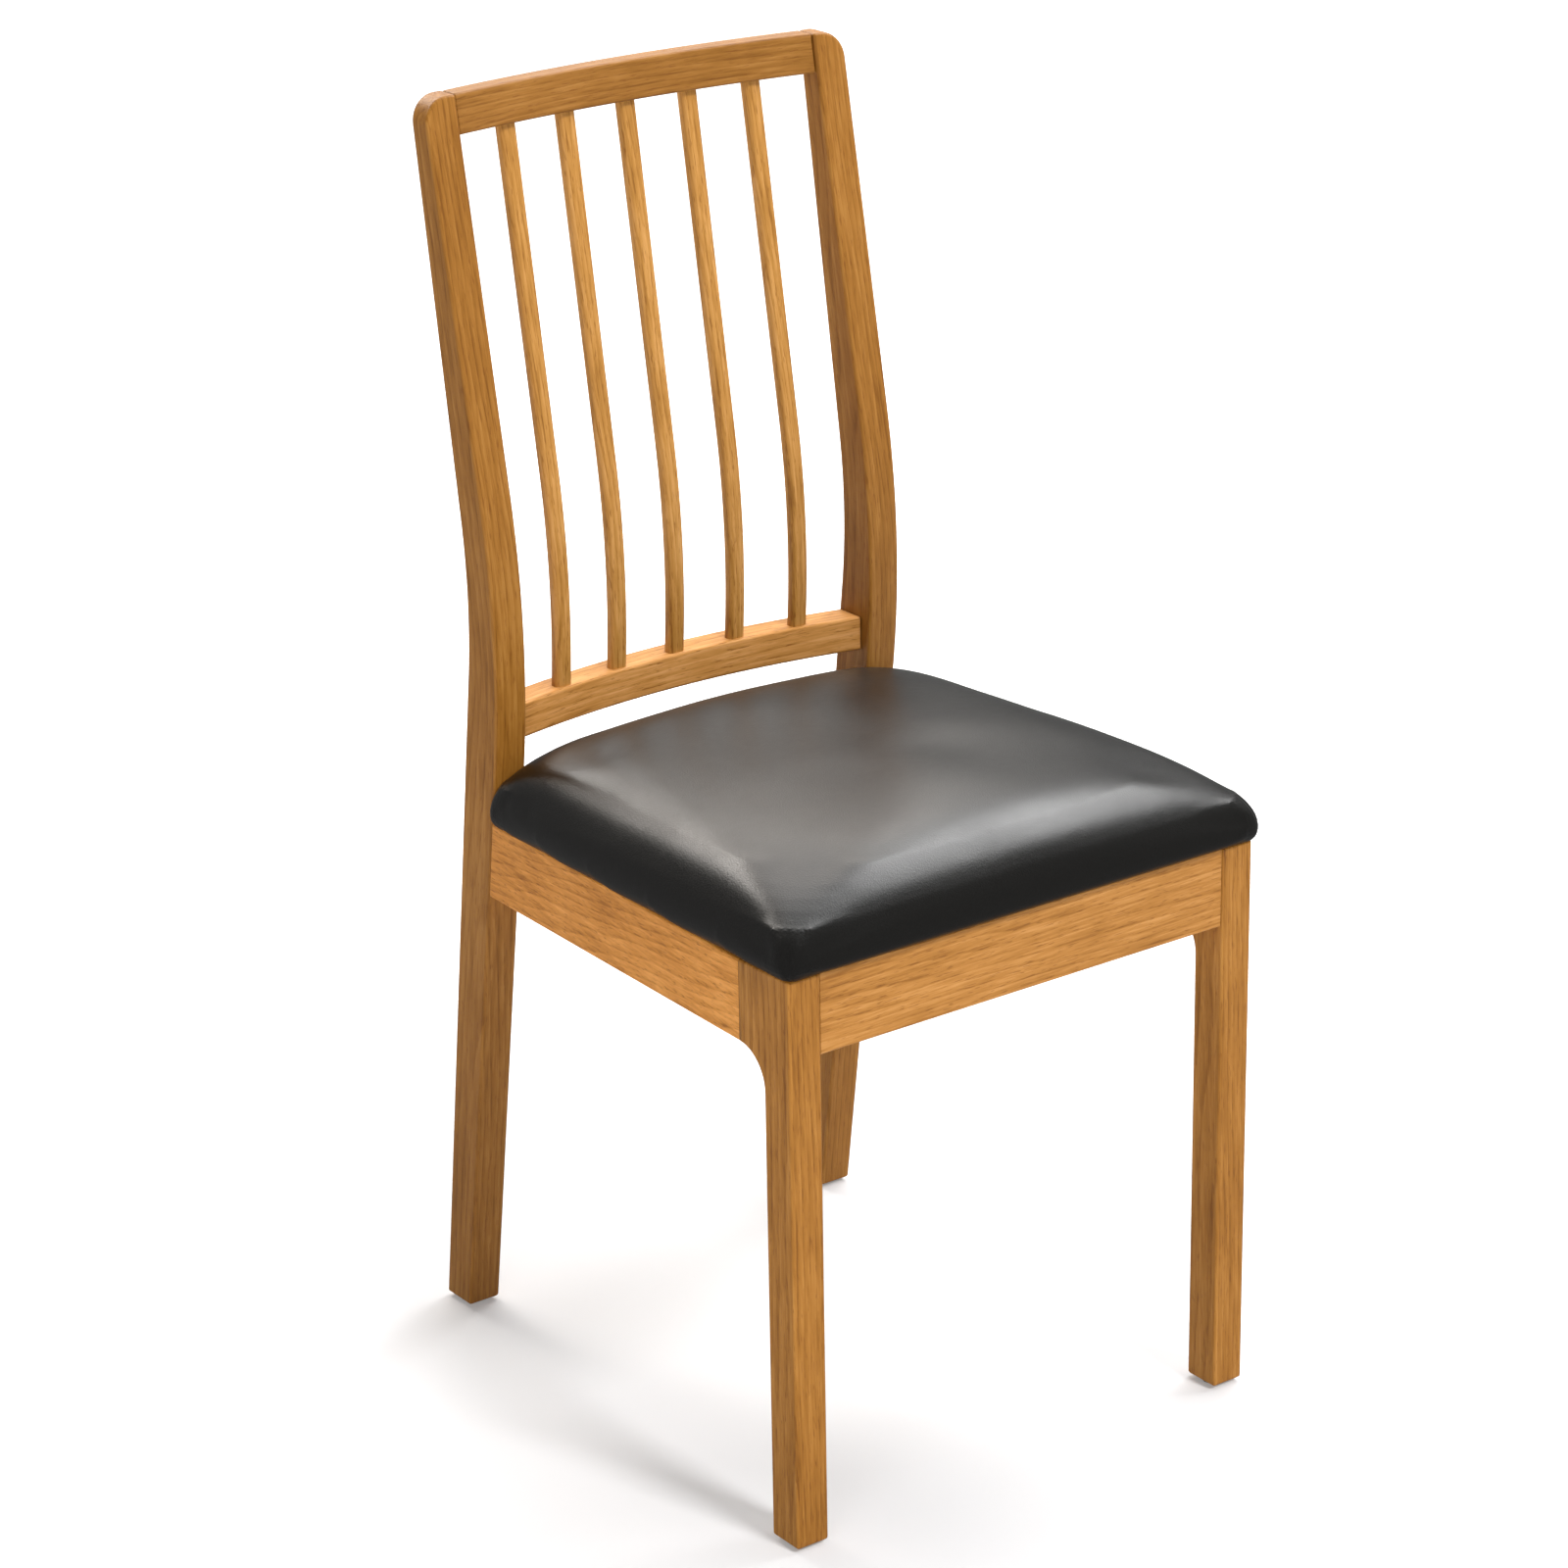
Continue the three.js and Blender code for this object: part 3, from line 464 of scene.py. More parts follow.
# %% Pad: places on the seat
SEAT_TILT = Matrix.Translation((0, FRONT_Y, SEAT_FRONT_Z)) @ Matrix.Rotation(-math.atan(SEAT_FALL), 4, "X")
OVERHANG_FRONT = 0.007
OVERHANG_SIDE = 0.007
OVERHANG_REAR = 0.0080
PAD_DEPTH = 0.390
REAR_SWELL = 0.012
FRONT_SWELL = 0.002
SIDE_SWELL = 0.0015
LEG_OUT = -LEG_LOW.x
POST_OUT = -POST_LOW.x
FRONT_CORNER_DROP = 0.14
REAR_CORNER_DROP = 0.03
REAR_LIFT = 0.03
REAR_FULLNESS = 0.35
SKIRT_HEIGHT = 0.030
SKIRT_REACH = 0.005
SKIRT_SQUARENESS = 8
ARC_POINTS = 12
SIDE_POINTS = 26
print("pad width", round(2 * (LEG_OUT + OVERHANG_SIDE), 3), "in front,",
      round(2 * (POST_OUT + OVERHANG_REAR), 3), "at the back")


def pad_corners(inset):
    front, rear = inset - OVERHANG_FRONT, PAD_DEPTH - inset
    wide, narrow = LEG_OUT + OVERHANG_SIDE - inset, POST_OUT + OVERHANG_REAR - inset
    return [Vector((-wide, front)), Vector((wide, front)), Vector((narrow, rear)), Vector((-narrow, rear))]


# %% [markdown]
# ## The pad's outlines
# The pad is a tapered rectangle seen from above, with rounded corners and sides that swell. Each
# level up the pad has its own inset and corner radius. The corners also sit lower than the middle.
# Low down, the back reaches a little further over the rear apron and has squarer corners, so that
# no slot shows there. Every outline is given the same number of points along its arcs and its
# straight runs, so that levels join one to one.

# %% Pad: one outline
def rounded_corner(corner, before, after, radius):
    """Points of the arc that rounds one corner of the outline."""
    to_before, to_after = (before - corner).normalized(), (after - corner).normalized()
    half = to_before.angle(to_after) / 2
    centre = corner + (to_before + to_after).normalized() * radius / math.sin(half)
    start = corner + to_before * radius / math.tan(half) - centre
    sweep = math.pi - 2 * half
    return [centre + Matrix.Rotation(sweep * i / ARC_POINTS, 2) @ start for i in range(ARC_POINTS + 1)]


def pad_outline(inset, radius, height):
    """The pad's outline at one level: straight sides that swell, and rounded corners."""
    corners = pad_corners(inset)
    arcs = [rounded_corner(c, corners[i - 1], corners[(i + 1) % 4], radius) for i, c in enumerate(corners)]
    points = []
    for i, arc in enumerate(arcs):
        following = arcs[(i + 1) % 4][0]
        points += arc
        points += [arc[-1].lerp(following, k / SIDE_POINTS) for k in range(1, SIDE_POINTS)]
    front, rear = corners[0].y, corners[2].y
    shaped = []
    for x, y in points:
        along = (2 * y - front - rear) / (rear - front)
        share = (along + 1) / 2
        across = x / (corners[1].x * (1 - share) + corners[2].x * share)
        swell = REAR_SWELL if along > 0 else -FRONT_SWELL
        rearward = max(along, 0) ** 2
        corner_drop = REAR_CORNER_DROP if along > 0 else FRONT_CORNER_DROP
        drop = 1 - corner_drop * (across * along) ** 2 + REAR_LIFT * rearward
        low = max(0.0, 1 - height / SKIRT_HEIGHT)
        shape = 1 - abs(across) ** (2 + SKIRT_SQUARENESS * low)
        y += swell * along**2 * shape + REAR_FULLNESS * max(inset, 0) * rearward
        y += SKIRT_REACH * low * rearward * shape
        x += math.copysign(SIDE_SWELL, x) * across**2 * (1 - along**2)
        shaped.append((x, y, height * drop))
    return shaped


OUTLINE_POINTS = 4 * (ARC_POINTS + SIDE_POINTS)
print("points in an outline", OUTLINE_POINTS)

# %% [markdown]
# ## The pad's form
# The levels read from the bottom up: how far in from the widest outline, how high, and how round
# the corners are there. The corners are crisp below and melt into a broad roll on top. A loft
# joins each outline to the next with bridge_loops, and the first and last are filled in.

# %% Pad: the loft
PAD_LEVELS = [
    (0.0060, 0.0004, 0.008), (0.0022, 0.0010, 0.008), (0.0002, 0.0045, 0.008), (-0.0006, 0.011, 0.009),
    (-0.0004, 0.018, 0.011), (0.0012, 0.026, 0.014), (0.0040, 0.034, 0.019), (0.0084, 0.0415, 0.026),
    (0.0150, 0.0485, 0.034), (0.0245, 0.0545, 0.045), (0.0375, 0.0594, 0.058), (0.0560, 0.0634, 0.078),
    (0.0850, 0.0665, 0.101), (0.1200, 0.0684, 0.073), (0.1550, 0.069, 0.040),
]


def lofted_pad():
    bm = bmesh.new()
    rings = []
    for inset, height, radius in PAD_LEVELS:
        ring = bmesh.ops.create_circle(bm, segments=OUTLINE_POINTS, radius=1)["verts"]
        for v, place in zip(ring, pad_outline(inset, radius, height)):
            v.co = place
        rings.append(ring)
    bm.verts.index_update()
    loops = [list(dict.fromkeys(e for v in ring for e in v.link_edges)) for ring in rings]
    for lower, upper in zip(loops, loops[1:]):
        bmesh.ops.bridge_loops(bm, edges=lower + upper)
    bm.faces.new(rings[0])
    bm.faces.new(rings[-1])
    bmesh.ops.recalc_face_normals(bm, faces=bm.faces)
    mesh = bpy.data.meshes.new("cushion")
    bm.to_mesh(mesh)
    bm.free()
    return mesh


cushion = bpy.data.objects.new("cushion", lofted_pad())
bpy.context.collection.objects.link(cushion)
print("loft", [round(v, 3) for v in cushion.dimensions])

# %% [markdown]
# ## Even squares
# The loft's faces are long on the sides and tiny at the corners, and a cloth stretches unevenly over
# such a mesh. A Remesh modifier in voxel mode rebuilds it from small squares of one size. It leaves
# little steps, which a few rounds of smoothing take out again.

# %% Pad: even squares
VOXEL = 0.0042
EVENING = [(3, 0.002), (26, 0.034), (40, 0.056)]


def baked(piece):
    """Replaces an object's mesh by what its modifiers make."""
    graph = bpy.context.evaluated_depsgraph_get()
    mesh = bpy.data.meshes.new_from_object(piece.evaluated_get(graph))
    piece.modifiers.clear()
    piece.data = mesh


def relaxed(piece, rounds, above):
    """Evens out the small steps that a remesh leaves."""
    bm = bmesh.new()
    bm.from_mesh(piece.data)
    for _ in range(rounds):
        bmesh.ops.smooth_vert(bm, verts=[v for v in bm.verts if v.co.z > above], factor=0.5,
                              use_axis_x=True, use_axis_y=True, use_axis_z=True)
    bm.to_mesh(piece.data)
    bm.free()


voxels = cushion.modifiers.new("voxels", "REMESH")
voxels.mode = "VOXEL"
voxels.voxel_size = VOXEL
baked(cushion)
relaxed(cushion, *EVENING[0])
print("even squares", len(cushion.data.polygons))

# %% [markdown]
# ## Stuffing
# The foam pushes its cover out until the cloth is tight. A sphere-like inflation of the whole pad
# would lose the outline and wrinkle at the corners, so the pressure is gentle and the travel of
# each point is capped. Points low on the pad are pinned, because they are stapled to the board.
# Afterwards, the surface is evened out, more so the higher it lies.

# %% Pad: stuffing
PRESSURE = 3.0
TRAVEL_CAP = 0.0018
PINNED_BELOW = 0.004
PIN_FADE = 0.012
STUFFING_STEPS = 20


def stuffed(piece, pressure, cap):
    rest = [v.co.copy() for v in piece.data.vertices]
    pins = piece.vertex_groups.new(name="stapled")
    for v in piece.data.vertices:
        hold = 1.0 - min(1.0, max(0.0, (v.co.z - PINNED_BELOW) / PIN_FADE))
        pins.add([v.index], hold, "REPLACE")
    cloth = piece.modifiers.new("cloth", "CLOTH")
    cloth.settings.vertex_group_mass = pins.name
    cloth.settings.use_pressure = True
    cloth.settings.uniform_pressure_force = pressure
    cloth.settings.tension_stiffness = 20
    cloth.settings.compression_stiffness = 5
    cloth.settings.bending_stiffness = 10
    cloth.settings.effector_weights.gravity = 0
    scene = bpy.context.scene
    for step in range(1, STUFFING_STEPS + 1):
        scene.frame_set(step)
    baked(piece)
    scene.frame_set(1)
    travel = 0.0
    for v, start in zip(piece.data.vertices, rest):
        move = v.co - start
        travel = max(travel, move.length)
        v.co = start + move * min(1.0, cap / max(move.length, 1e-9))
    print("cloth travelled up to", round(travel * 1000, 1), "mm")
    piece.vertex_groups.clear()


stuffed(cushion, PRESSURE, TRAVEL_CAP)
for rounds, above in EVENING:
    relaxed(cushion, rounds, above)
print("cushion points", len(cushion.data.vertices))

# %% [markdown]
# ## Corner tucks
# Where the cloth turns a corner its spare width is folded under. Each fold shows as a short
# crease that runs up the corner and fades out on top. It could be sculpted by hand, but here the
# points near each corner are pushed by one rule, a groove with a lip beside it, so that all four
# match.

# %% Pad: tucks
TUCK_HEIGHT = 0.034
TUCK_DEPTH = 0.0020
TUCK_WIDTH = 0.0024
TUCK_INSET = 0.003
TUCK_FADE = 0.6
LIP_AWAY = 2.2
LIP_WIDTH = 1.6
LIP_SHARE = 0.5
TUCK_LOW, TUCK_HIGH = PAD_LEVELS[1][1], 0.045
TUCK_ZONE = 0.024
TUCK_REACH = 0.040


def tucked(piece):
    bm = bmesh.new()
    bm.from_mesh(piece.data)
    middle = Vector((0, PAD_DEPTH / 2))
    corners = pad_corners(TUCK_INSET)
    near = []
    for f in bm.faces:
        spot = f.calc_center_median()
        if TUCK_LOW < spot.z < TUCK_HIGH and any((spot.xy - c).length < TUCK_ZONE for c in corners):
            near.append(f)
    edges = list(dict.fromkeys(e for f in near for e in f.edges))
    bmesh.ops.subdivide_edges(bm, edges=edges, cuts=3, use_grid_fill=True)
    for v in bm.verts:
        for corner in corners:
            out = (corner - middle).normalized()
            offset = v.co.xy - corner
            if offset.length > TUCK_REACH:
                continue
            aside = offset.x * -out.y + offset.y * out.x
            fade = max(0.0, 1 - max(v.co.z, 0) / TUCK_HEIGHT) ** TUCK_FADE
            groove = math.exp(-((aside / TUCK_WIDTH) ** 2))
            lip = math.exp(-(((aside - LIP_AWAY * TUCK_WIDTH) / (LIP_WIDTH * TUCK_WIDTH)) ** 2))
            push = (LIP_SHARE * lip - groove) * TUCK_DEPTH * fade
            v.co.x += out.x * push
            v.co.y += out.y * push
    bm.to_mesh(piece.data)
    bm.free()


tucked(cushion)
print("tucked cushion", len(cushion.data.polygons), "faces")

# %% [markdown]
# ## The pad against the posts
# The pad is pushed in between the back posts, and it is squeezed flat where it meets them. A
# collision in the cloth simulation could do that, but it is slow and would let the faces touch. A
# limit on each point's depth, read from the posts' own front line, leaves an even gap. The finished
# pad is then laid on the sloping seat and smoothed by one level of subdivision.

# %% Pad: squeeze and finish
POST_CLEARANCE = 0.0008
SQUEEZE_FADE = 0.012
FREE_BETWEEN_POSTS = 0.03


def squeezed(piece):
    """Keeps the pad in front of the posts, easing back to its own shape between them."""
    inner = -POST_HIGH.x
    for v in piece.data.vertices:
        height = SEAT_FRONT_Z - SEAT_FALL * v.co.y + v.co.z
        limit = post_front(height) - FRONT_Y - POST_CLEARANCE
        between = min(1.0, max(0.0, (inner - abs(v.co.x)) / SQUEEZE_FADE))
        limit += FREE_BETWEEN_POSTS * between**2
        v.co.y = min(v.co.y, limit)


squeezed(cushion)
cushion.data.transform(SEAT_TILT)
cushion.data.polygons.foreach_set("use_smooth", [True] * len(cushion.data.polygons))
finer = cushion.modifiers.new("finer", "SUBSURF")
finer.levels = finer.render_levels = 1
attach(cushion, "root")
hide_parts("seat_cover", "seat_foam")
print("cushion", len(cushion.data.polygons), "faces")

# %% [markdown]
# ## Finishes
# Each finish is a small node tree, so that it needs no image files. The pattern sits on Object
# coordinates or on a piece's own attribute, so it stays put on every part. The helpers below make
# a node, set its inputs and return it.

# %% Node helper
def node(tree, kind, _settings=None, **inputs):
    made = tree.nodes.new("ShaderNode" + kind)
    for name, value in (_settings or {}).items():
        setattr(made, name, value)
    for name, value in inputs.items():
        key = int(name[1:]) if name[0] == "i" and name[1:].isdigit() else name.replace("_", " ")
        if isinstance(value, bpy.types.NodeSocket):
            tree.links.new(value, made.inputs[key])
        else:
            made.inputs[key].default_value = value
    return made


def math_node(tree, operation, a, b=0.0):
    return node(tree, "Math", {"operation": operation}, i0=a, i1=b).outputs[0]


def ramp(tree, value, stops):
    made = node(tree, "ValToRGB", Fac=value)
    elements = made.color_ramp.elements
    while len(elements) < len(stops):
        elements.new(0.5)
    for element, (place, colour) in zip(elements, stops):
        element.position = place
        element.color = colour if len(colour) == 4 else (*colour, 1)
    return made.outputs["Color"]


def new_material(name):
    material = bpy.data.materials.new(name)
    material.use_nodes = True
    tree = material.node_tree
    return material, tree, tree.nodes["Principled BSDF"]


def mapped(tree, turn, scale):
    """Object coordinates, turned so that the pattern's Z runs along the wood, then stretched."""
    place = node(tree, "TexCoord").outputs["Object"]
    turned = node(tree, "Mapping", Vector=place, Rotation=turn)
    return node(tree, "Mapping", Vector=turned.outputs[0], Scale=scale).outputs[0]


print("helpers ready, materials so far", len(bpy.data.materials))

# %% [markdown]
# ## Grain that follows the wood
# Bent parts are cut so that the grain runs along them. A pattern on plain Object coordinates
# would run straight through the bend, so each piece stores its own grain coordinates: two across
# the fibre and one along it, with the bend taken out. Each piece also gets its own cut, a shift
# through the pattern, as if it came from another part of the plank.

# %% Grain coordinates
GRAIN_ORDER = {"x": (1, 2, 0), "y": (0, 2, 1), "z": (0, 1, 2)}
CUT_STEP = Vector((0.043, 0.031, 0.71))


def grained(piece, direction, cut, unbend=None):
    """Stores grain places; unbend(co) says how far the bend has pushed a point along Y."""
    store = piece.data.attributes.new("grain", "FLOAT_VECTOR", "POINT")
    first = piece.data.vertices[0].co.copy()
    for v, item in zip(piece.data.vertices, store.data):
        co = v.co.copy()
        if unbend:
            co.y -= unbend(co)
        co -= Vector((first.x, first.y if not unbend else 0, 0))
        item.vector = Vector([co[i] for i in GRAIN_ORDER[direction]]) + CUT_STEP * cut


for i, piece in enumerate(posts):
    grained(piece, "z", i + 1, lambda co: post_front(co.z))
for i, piece in enumerate(legs):
    grained(piece, "z", i + 3)
for i, piece in enumerate(spindles):
    grained(piece, "z", i + 5, lambda co: post_front(co.z))
grained(rails[0], "x", 10, lambda co: bowed(co.x, TOP_BOW) + lean * (co.z - TOP_Z))
grained(rails[1], "x", 11, lambda co: bowed(co.x, LOW_BOW))
grained(aprons[0], "x", 12)
grained(aprons[1], "x", 13)
grained(aprons[2], "y", 14)
grained(aprons[3], "y", 15)
print("grain stored on", len(posts + legs + spindles + rails + aprons), "pieces")

# %% [markdown]
# ## Stained oak
# Oak has three things a plain brown lacks: growth rings that show as long arcs, fine fibres, and
# open pores that the stain fills with dark dashes. Rings come from the distance to a far-off
# centre line, bent by noise. Fibres and pores are noise stretched along the grain. A picture of
# wood could show all this, but it would have to be cut and turned for every board.

# %% Oak
PITH_AWAY = (0.034, 0.085)
RINGS_PER_METRE = 235.0
OAK_TONES = [(0.34, (0.27, 0.100, 0.011)), (0.45, (0.38, 0.154, 0.020)), (0.55, (0.45, 0.190, 0.029)),
             (0.68, (0.55, 0.252, 0.050))]
OAK_PORE = (0.17, 0.055, 0.007, 1)


def stretched(tree, place, along, scale, detail, roughness=0.55):
    """Noise drawn out along the grain; scale is across it."""
    pulled = node(tree, "Mapping", Vector=place, Scale=(1, 1, along)).outputs[0]
    return node(tree, "TexNoise", Vector=pulled, Scale=scale, Detail=detail, Roughness=roughness)


def oak(name, shade):
    material, tree, shader = new_material(name)
    # the shade factors scale the stain's tones, and they hold painted light as well as stain
    tones = [(place, [level * part for level, part in zip(colour, shade)] + [1])
             for place, colour in OAK_TONES]
    stored = node(tree, "Attribute", {"attribute_name": "grain"}).outputs["Vector"]
    place = node(tree, "Mapping", Vector=stored, Rotation=(0.022, 0.030, 0.35)).outputs[0]
    wander = stretched(tree, place, 0.16, 16.0, 2.0).outputs["Color"]
    drift = node(tree, "VectorMath", {"operation": "SCALE"}, i0=wander, Scale=0.022).outputs[0]
    ring_place = node(tree, "VectorMath", {"operation": "ADD"}, i0=place, i1=drift).outputs[0]
    split = node(tree, "SeparateXYZ", Vector=ring_place)
    away_x = math_node(tree, "ADD", split.outputs[0], PITH_AWAY[0])
    away_y = math_node(tree, "ADD", split.outputs[1], PITH_AWAY[1])
    squares = math_node(tree, "ADD", math_node(tree, "MULTIPLY", away_x, away_x),
                        math_node(tree, "MULTIPLY", away_y, away_y))
    turns = math_node(tree, "MULTIPLY", math_node(tree, "SQRT", squares), RINGS_PER_METRE)
    rings = math_node(tree, "FRACT", turns)
    early = ramp(tree, rings, [(0.0, (0.05,) * 3), (0.10, (1.0,) * 3), (0.34, (0.45,) * 3),
                               (1.0, (0.0,) * 3)])
    fibre = stretched(tree, place, 0.055, 620.0, 2.0, 0.6).outputs["Fac"]
    streak = stretched(tree, place, 0.07, 210.0, 3.0, 0.6).outputs["Fac"]
    cloud = stretched(tree, place, 0.25, 26.0, 2.0).outputs["Fac"]
    pores = stretched(tree, place, 0.09, 1050.0, 1.0).outputs["Fac"]
    open_pores = math_node(tree, "ADD", pores, math_node(tree, "MULTIPLY", early, 0.10))
    pore_mask = ramp(tree, open_pores, [(0.655, (0.0,) * 3), (0.735, (1.0,) * 3)])
    tone = math_node(tree, "ADD", math_node(tree, "MULTIPLY", early, -0.13),
                     math_node(tree, "MULTIPLY", fibre, 0.40))
    tone = math_node(tree, "ADD", tone, math_node(tree, "MULTIPLY", streak, 0.40))
    tone = math_node(tree, "ADD", tone, math_node(tree, "MULTIPLY", cloud, 0.34))
    body = ramp(tree, tone, tones)
    colour = node(tree, "Mix", {"data_type": "RGBA"}, i0=math_node(tree, "MULTIPLY", pore_mask, 0.52),
                  i6=body, i7=OAK_PORE).outputs[2]
    rough = node(tree, "MapRange", Value=fibre, To_Min=0.42, To_Max=0.60).outputs[0]
    relief = math_node(tree, "SUBTRACT", math_node(tree, "MULTIPLY", fibre, 0.5), pore_mask)
    bump = node(tree, "Bump", Height=relief, Strength=0.22, Distance=0.0003)
    tree.links.new(colour, shader.inputs["Base Color"])
    tree.links.new(rough, shader.inputs["Roughness"])
    tree.links.new(bump.outputs[0], shader.inputs["Normal"])
    shader.inputs["Specular IOR Level"].default_value = 0.22
    shader.inputs["Coat Weight"].default_value = 0.04
    shader.inputs["Coat Roughness"].default_value = 0.35
    return material


print("oak tones", len(OAK_TONES))

# %% [markdown]
# ## Shades of oak
# Each group of pieces has its own shade of the stain: the posts and the top rail are darker than the seat
# frame.
# These factors also carry painted light. The lower rail is made lighter where the pad shades it, the side
# boards are made lighter as if lit from low in front at the left, and the paler pieces get extra blue as a
# painted grey sheen. One material with a tint in each object could do it, but an export keeps separate
# materials more simply.
# Each group gets the same tree with its own red, green and blue factors.

# %% Shades of oak
# shade factors per group: partly stain, partly painted light (lighter lower rail and side boards, extra
# blue as painted sheen)
oak_posts = oak("oak_posts", (0.65, 0.64, 0.65))
oak_legs = oak("oak_legs", (0.80, 0.79, 0.79))
oak_top_rail = oak("oak_top_rail", (0.59, 0.59, 0.66))
oak_lower_rail = oak("oak_lower_rail", (1.18, 1.30, 2.3))
oak_spindles = oak("oak_spindles", (0.99, 1.12, 1.7))
oak_front = oak("oak_front_board", (0.98, 1.02, 1.4))
oak_sides = oak("oak_side_boards", (1.26, 1.20, 1.25))
print("oak ready")


def painted(piece, material):
    piece.data.materials.clear()
    piece.data.materials.append(material)


for pieces, finish in [(posts, oak_posts), (legs, oak_legs), (spindles, oak_spindles),
                       (rails[:1], oak_top_rail), (rails[1:], oak_lower_rail),
                       (aprons[:2], oak_front), (aprons[2:], oak_sides)]:
    for piece in pieces:
        painted(piece, finish)

# %% [markdown]
# ## Black coated leather
# The cover is smooth and satin: nearly black, with a fine pebble grain that only shows in the
# highlights. An image of leather would have to be unwrapped over the corners. Here the grain is a
# Voronoi cell pattern turned into shallow bumps, and the roughness varies a little so that the
# broad reflection isn't flat.

# %% Leather
def leather(name):
    material, tree, shader = new_material(name)
    place = node(tree, "TexCoord").outputs["Object"]
    cells = node(tree, "TexVoronoi", {"feature": "SMOOTH_F1"}, Vector=place, Scale=850.0, Smoothness=0.4)
    wrinkle = node(tree, "TexNoise", Vector=place, Scale=140.0, Detail=4.0, Roughness=0.6).outputs["Fac"]
    cloud = node(tree, "TexNoise", Vector=place, Scale=9.0, Detail=2.0).outputs["Fac"]
    grain = math_node(tree, "ADD", cells.outputs["Distance"], math_node(tree, "MULTIPLY", wrinkle, 0.6))
    bump = node(tree, "Bump", Height=grain, Strength=0.22, Distance=0.0003)
    rough = node(tree, "MapRange", Value=math_node(tree, "ADD", math_node(tree, "MULTIPLY", cloud, 0.7),
                 math_node(tree, "MULTIPLY", wrinkle, 0.3)), From_Min=0.3, From_Max=0.7,
                 To_Min=0.31, To_Max=0.41).outputs[0]
    colour = ramp(tree, cells.outputs["Distance"], [(0.1, (0.0024, 0.0022, 0.0018)),
                                                    (0.6, (0.0045, 0.0041, 0.0034))])
    tree.links.new(colour, shader.inputs["Base Color"])
    tree.links.new(rough, shader.inputs["Roughness"])
    tree.links.new(bump.outputs[0], shader.inputs["Normal"])
    shader.inputs["Specular IOR Level"].default_value = 0.5
    return material


black_leather = leather("leather_black")
painted(cushion, black_leather)
print("cushion wears", black_leather.name)

# %% [markdown]
# ## Raw wood under the seat
# The corner blocks and dowels are unstained beech, with fine straight fibres. The board is
# plywood, whose layers show as bands at its edge. Both are one noise, pulled out along the fibre
# for beech and squeezed into layers for plywood, so one helper makes the two.

# %% Raw beech and plywood
def raw_wood(name, light, dark, turn, stretch):
    material, tree, shader = new_material(name)
    place = mapped(tree, turn, stretch)
    fibre = node(tree, "TexNoise", Vector=place, Scale=300.0, Detail=3.0).outputs["Fac"]
    tree.links.new(ramp(tree, fibre, [(0.3, dark), (0.7, light)]), shader.inputs["Base Color"])
    bump = node(tree, "Bump", Height=fibre, Strength=0.2, Distance=0.0003)
    tree.links.new(bump.outputs[0], shader.inputs["Normal"])
    shader.inputs["Roughness"].default_value = 0.72
    return material


beech = raw_wood("beech_raw", (0.66, 0.45, 0.24), (0.50, 0.31, 0.15),
                 (0, math.radians(90), 0), (1, 1, 0.05))
plywood = raw_wood("plywood_raw", (0.58, 0.40, 0.21), (0.34, 0.20, 0.09),
                   (0, 0, 0), (0.03, 0.03, 2.2))
print("raw woods", beech.name, plywood.name)

# %% [markdown]
# ## Cloth, zinc and plastic
# The lining is thin felted cloth, the screws and bolts are zinc plated, and the glides are moulded
# plastic. All three are one colour that varies a little from spot to spot, so one noise can drive
# the colour, the roughness and a shallow relief, and a single helper makes them. The CAD nodes
# then get their finish by the material slot that their record names.

# %% Cloth, zinc and plastic
ROUGHNESS_SPREAD = 0.08


def plain(name, light, dark, scale, roughness, metal=0.0, relief=0.3, depth=0.0003):
    material, tree, shader = new_material(name)
    place = node(tree, "TexCoord").outputs["Object"]
    speck = node(tree, "TexNoise", Vector=place, Scale=scale, Detail=4.0, Roughness=0.65).outputs["Fac"]
    tree.links.new(ramp(tree, speck, [(0.35, dark), (0.65, light)]), shader.inputs["Base Color"])
    rough = node(tree, "MapRange", Value=speck, To_Min=roughness - ROUGHNESS_SPREAD,
                 To_Max=roughness + ROUGHNESS_SPREAD)
    tree.links.new(rough.outputs[0], shader.inputs["Roughness"])
    bump = node(tree, "Bump", Height=speck, Strength=relief, Distance=depth)
    tree.links.new(bump.outputs[0], shader.inputs["Normal"])
    shader.inputs["Metallic"].default_value = metal
    return material


cloth = plain("lining_cloth", (0.028, 0.028, 0.029), (0.010, 0.010, 0.011), 900.0, 0.9)
zinc = plain("zinc_plate", (0.60, 0.61, 0.62), (0.42, 0.43, 0.44), 400.0, 0.34, metal=1.0, relief=0.1)
plastic = plain("glide_plastic", (0.045, 0.040, 0.036), (0.028, 0.025, 0.022), 700.0, 0.6)
finish_of_slot = {"beech": beech, "plywood": plywood, "lining": cloth, "steel": zinc, "plastic": plastic,
                  "oak": oak_posts, "leather": black_leather, "foam": cloth}
slot_of_node = {part["node"]: part["material_slot"] for part in frame["record"]["subparts"]}
for name, cad_node in frame["nodes"].items():
    painted(cad_node, finish_of_slot[slot_of_node[name]])
print("CAD nodes finished", len(slot_of_node))

# %% [markdown]
# ## Floor
# A pale floor fills the view. A curved paper sweep would hide the horizon, but it would stand in
# the way of views from behind. A wide flat floor that glows more with distance runs out to plain
# white on all sides. It is kept out of reflections, so that dark leather stays dark.

# %% Floor
FLOOR_REACH = 30
FLOOR_PAINT = (0.62, 0.62, 0.63, 1)
GLOW_NEAR, GLOW_FAR = 0.16, 0.95
GLOW_START, GLOW_END = 0.2, 2.2


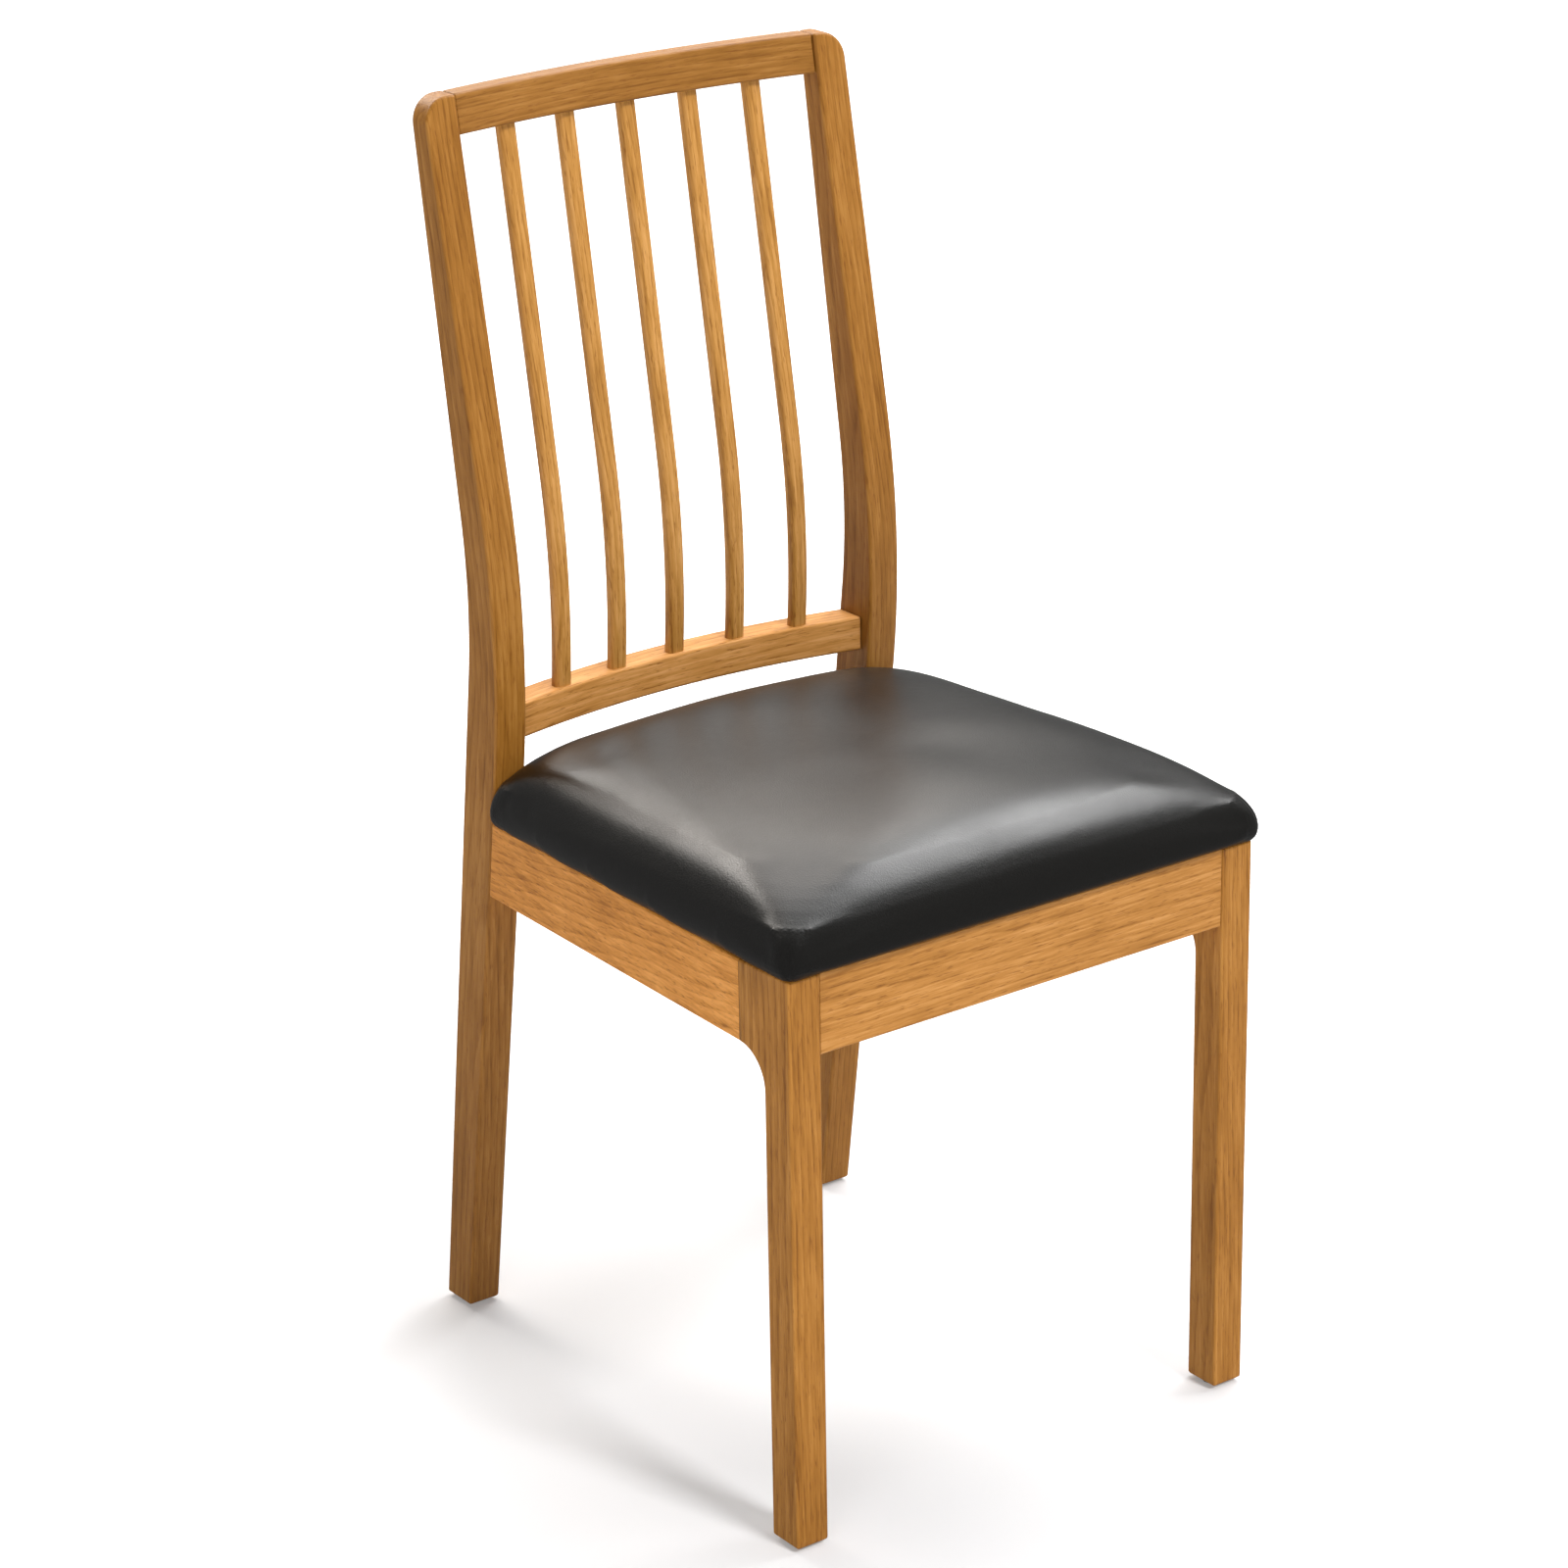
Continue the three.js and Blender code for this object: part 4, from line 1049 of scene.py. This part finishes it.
def stage_floor():
    bm = bmesh.new()
    bmesh.ops.create_grid(bm, x_segments=1, y_segments=1, size=FLOOR_REACH)
    mesh = bpy.data.meshes.new("floor")
    bm.to_mesh(mesh)
    bm.free()
    floor = bpy.data.objects.new("floor", mesh)
    bpy.context.collection.objects.link(floor)
    material, tree, shader = new_material("floor_white")
    shader.inputs["Base Color"].default_value = FLOOR_PAINT
    shader.inputs["Roughness"].default_value = 0.9
    shader.inputs["Specular IOR Level"].default_value = 0.1
    place = node(tree, "TexCoord").outputs["Object"]
    away = node(tree, "VectorMath", {"operation": "LENGTH"}, i0=place).outputs["Value"]
    glow = node(tree, "MapRange", Value=away, From_Min=GLOW_START, From_Max=GLOW_END,
                To_Min=GLOW_NEAR, To_Max=GLOW_FAR).outputs[0]
    shader.inputs["Emission Color"].default_value = (1, 1, 1, 1)
    tree.links.new(glow, shader.inputs["Emission Strength"])
    mesh.materials.append(material)
    floor.visible_glossy = False
    return floor


stage_floor()
print("floor glows from", GLOW_NEAR, "to", GLOW_FAR)


# %% [markdown]
# ## Lights
# A soft sun from the front models the frame. A ceiling panel and a softbox above right draw the
# highlight along the pad's front roll, and two panels behind give the sheen on its top. A weak
# panel at the left lifts the shaded faces, and it is kept out of reflections as the sun is. A
# picture of a studio could light it all at once, but then no highlight could be moved by itself.

# %% Lights
def area_light(name, place, target, size, power, colour=(1, 1, 1)):
    data = bpy.data.lights.new(name, "AREA")
    data.shape = "RECTANGLE"
    data.size, data.size_y = size
    data.energy = power
    data.color = colour
    lamp = bpy.data.objects.new(name, data)
    bpy.context.collection.objects.link(lamp)
    lamp.location = place
    lamp.rotation_mode = "QUATERNION"
    lamp.rotation_quaternion = (target - Vector(place)).to_track_quat("-Z", "Y")
    return lamp


WORLD_GLOW = 0.22
WARM = (1.0, 0.95, 0.89)
SUN_POWER = 2.25
SUN_WIDTH = math.radians(12)
SUN_DIRECTION = Vector((-0.15, 1, -1.1))
world = bpy.data.worlds.new("studio")
bpy.context.scene.world = world
world.use_nodes = True
world.node_tree.nodes["Background"].inputs["Color"].default_value = (1, 1, 1, 1)
world.node_tree.nodes["Background"].inputs["Strength"].default_value = WORLD_GLOW
area_light("panel_behind", (0.62, 1.9, 2.15), SEAT_SPOT, (2.2, 1.1), 36, WARM)
area_light("softbox_left", (-0.2, 2.0, 2.2), SEAT_SPOT, (0.9, 0.6), 24, WARM)
area_light("ceiling", (0.9, 0.9, 2.9), SEAT_SPOT, (2.2, 2.2), 30)
area_light("softbox_right", (1.52, 0.0, 2.46), SEAT_SPOT, (1.9, 0.75), 56)
fill = area_light("fill_left", (-1.6, -1.2, 0.9), SEAT_SPOT, (0.9, 0.9), 11)
fill.visible_glossy = False
sun_data = bpy.data.lights.new("sun", "SUN")
sun_data.energy = SUN_POWER
sun_data.angle = SUN_WIDTH
sun = bpy.data.objects.new("sun", sun_data)
bpy.context.collection.objects.link(sun)
sun.visible_glossy = False
sun.rotation_mode = "QUATERNION"
sun.rotation_quaternion = SUN_DIRECTION.to_track_quat("-Z", "Y")
bpy.context.scene.view_settings.view_transform = "Standard"
print("lights", len(bpy.data.lights))

# %% [markdown]
# The visible pieces may swell a little past the CAD model, as a cushion does, but not by much.

import json
